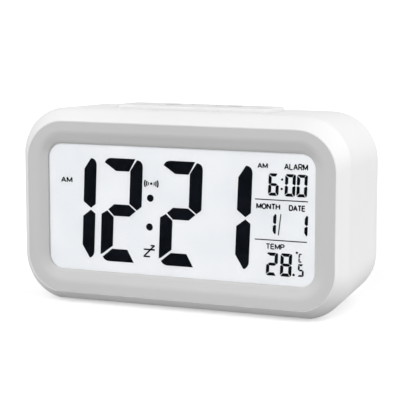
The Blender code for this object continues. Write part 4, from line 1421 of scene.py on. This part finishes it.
def build_snooze():
    """The snooze bar, its switch and the board beneath it."""
    outline = panel(*BAR_HALF, BAR_RADIUS, steps=14)
    under = -WALL - 0.3
    profile = [(0.0, -BAR_WALL)]
    profile += beyond(under, (-0.9, -BAR_WALL), (-0.9, 1.1), (-0.8, 1.2), (0, 1.2), (0, 0.0))
    profile += [*rim(BAR_PROUD, 0.6, 0.6, 7), (BAR_PROUD, -2.0)]
    bar = drawn(outline, profile, "z")
    pin = drawn(disc(2.2), [(-5.0, -0.3), (-4.7, 0), (0.8, 0)], "z")
    piece("snooze_bar", moved(carved(bar, ("UNION", pin)), TOP), "button_white")
    tactile_switch("snooze", "z", TOP)
    low, high = span("snooze_board", TOP)
    piece("snooze_board", moved(plate(low, high, 0.8, 0.06, "z"), TOP), "board_green")
    bar_marks()


def bar_marks():
    """Thin printed marks on the bar: rest signs, a dot, a sun and three lines, in place of words."""
    depths = (-BAR_PROUD - 0.02, -BAR_PROUD + 0.01)
    back = 1.5
    marks = []
    for x, size in ((-13.7, 1.3), (-11.2, 1.05), (-9.3, 0.8)):
        zigzag = ((-1, 1), (1, 1), (-1, -1), (1, -1))
        corners = [(x + side * size, back + rise * size) for side, rise in zigzag]
        marks += [stroke_of(corners[start : start + 2], 0.55, depths) for start in range(3)]
    marks.append(dot((-3.7, back), 0.7, depths))
    marks += sun((7.1, back), 1.05, depths)
    marks += [stroke_of(((11.2, back + up), (17.0, back + up)), 0.5, depths) for up in (-1.2, 0.0, 1.2)]
    lay_down = Matrix(((1, 0, 0, 0), (0, 0, 1, 0), (0, -1, 0, 0), (0, 0, 0, 1)))
    piece("snooze_bar", moved(together(marks), TOP @ lay_down), "bar_print", "bar_print")


def sheet_of_paper(name, points, faces, glow):
    """A sheet of the studio's white paper. It shows, but it neither lights the clock nor shades it."""
    sheet = bpy.data.meshes.new(name)
    sheet.from_pydata(points, [], faces)
    recipe = Recipe(f"{name}_paper", 0.9, specular=0.05)
    recipe.shader.inputs["Emission Color"].default_value = (1.0, 1.0, 1.0, 1.0)
    recipe.shader.inputs["Emission Strength"].default_value = glow
    tone = recipe.ramp(recipe.noise(3.0), (0.3, (0.945, 0.945, 0.945)), (0.7, (0.95, 0.95, 0.95)))
    sheet.materials.append(recipe.finish(base_color=tone))
    paper = bpy.data.objects.new(name, sheet)
    bpy.context.scene.collection.objects.link(paper)
    paper.visible_diffuse = paper.visible_glossy = paper.visible_shadow = False


def stage():
    """A pale floor that runs out of the picture, and a white backdrop that stands all round it."""
    half, reach, rise, sides = 8.0, 4.0, 3.5, 48
    floor = [(x * half, y * half, 0) for x, y in ((-1, -1), (1, -1), (1, 1), (-1, 1))]
    sheet_of_paper("floor", floor, [(0, 1, 2, 3)], FLOOR_GLOW)
    points = [(x, y, z) for x, y in on_circle((0, 0), reach, full_circle(sides)) for z in (0.0, rise)]
    corners = [2 * side for side in range(sides)]
    faces = [(a, b, b + 1, a + 1) for a, b in zip(corners, corners[1:] + corners[:1])]
    sheet_of_paper("backdrop", points, faces, BACKDROP_GLOW)


def light():
    """A dim white surround, darkest straight down, and wide soft lights all round."""
    world = bpy.data.worlds.new("studio")
    bpy.context.scene.world = world
    world.use_nodes = True
    tree = world.node_tree
    tree.nodes["Background"].inputs["Color"].default_value = (1.0, 1.0, 1.0, 1.0)
    split = tree.nodes.new("ShaderNodeSeparateXYZ")
    tree.links.new(tree.nodes.new("ShaderNodeTexCoord").outputs["Generated"], split.inputs[0])
    halve = tree.nodes.new("ShaderNodeMapRange")
    halve.inputs["From Min"].default_value = -1.0
    fade = tree.nodes.new("ShaderNodeValToRGB")
    fade.name = "sky_over_ground"
    stops = fade.color_ramp.elements
    while len(stops) < len(SURROUND):
        stops.new(1.0)
    for stop, (height, strength) in zip(stops, SURROUND):
        stop.position = (height + 1) / 2
        stop.color = (strength, strength, strength, 1.0)
    tree.links.new(split.outputs["Z"], halve.inputs["Value"])
    tree.links.new(halve.outputs["Result"], fade.inputs["Fac"])
    tree.links.new(fade.outputs["Color"], tree.nodes["Background"].inputs["Strength"])

    for name, (turn, height, strength) in LIGHTS.items():
        lamp = bpy.data.lights.new(name, "SUN")
        lamp.angle = math.radians(LIGHT_SPREAD)
        lamp.energy = strength
        turn, height = math.radians(turn), math.radians(height)
        level = math.cos(height)
        away = Vector((math.sin(turn) * level, -math.cos(turn) * level, math.sin(height)))
        thing = bpy.data.objects.new(name, lamp)
        thing.rotation_mode = "QUATERNION"
        thing.rotation_quaternion = away.to_track_quat("Z", "Y")
        bpy.context.scene.collection.objects.link(thing)
    bpy.context.scene.view_settings.view_transform = "Standard"


def camera():
    """The view from the right and slightly above, which leans with the clock."""
    turn, rise = CAMERA_TURN, CAMERA_RISE
    right = Vector((math.cos(turn), math.sin(turn), 0))
    back = Vector((math.sin(turn) * math.cos(rise), -math.cos(turn) * math.cos(rise), math.sin(rise)))
    up = back.cross(right)
    place = right * CAMERA_ASIDE + up * CAMERA_ABOVE + back * CAMERA_DISTANCE
    data = bpy.data.cameras.new("camera")
    data.lens = CAMERA_LENS
    data.clip_start = 0.01
    made = bpy.data.objects.new("camera", data)
    aim = Matrix((right, up, back)).transposed().to_4x4()
    lean = Matrix.Rotation(-LEAN, 4, "X")
    made.matrix_world = Matrix.Translation(CASE @ place) @ lean @ aim
    bpy.context.scene.collection.objects.link(made)
    bpy.context.scene.camera = made


def main():
    """The camera, the studio and the whole clock."""
    camera()
    stage()
    light()
    build_front()
    build_display()
    build_carrier()
    build_main_board()
    build_rear_controls()
    build_rear_housing()
    rear_icons()
    build_fasteners()
    build_feet()
    build_snooze()
    build_door()
    build_cells()
    build_contacts()
    build_wiring()


main()
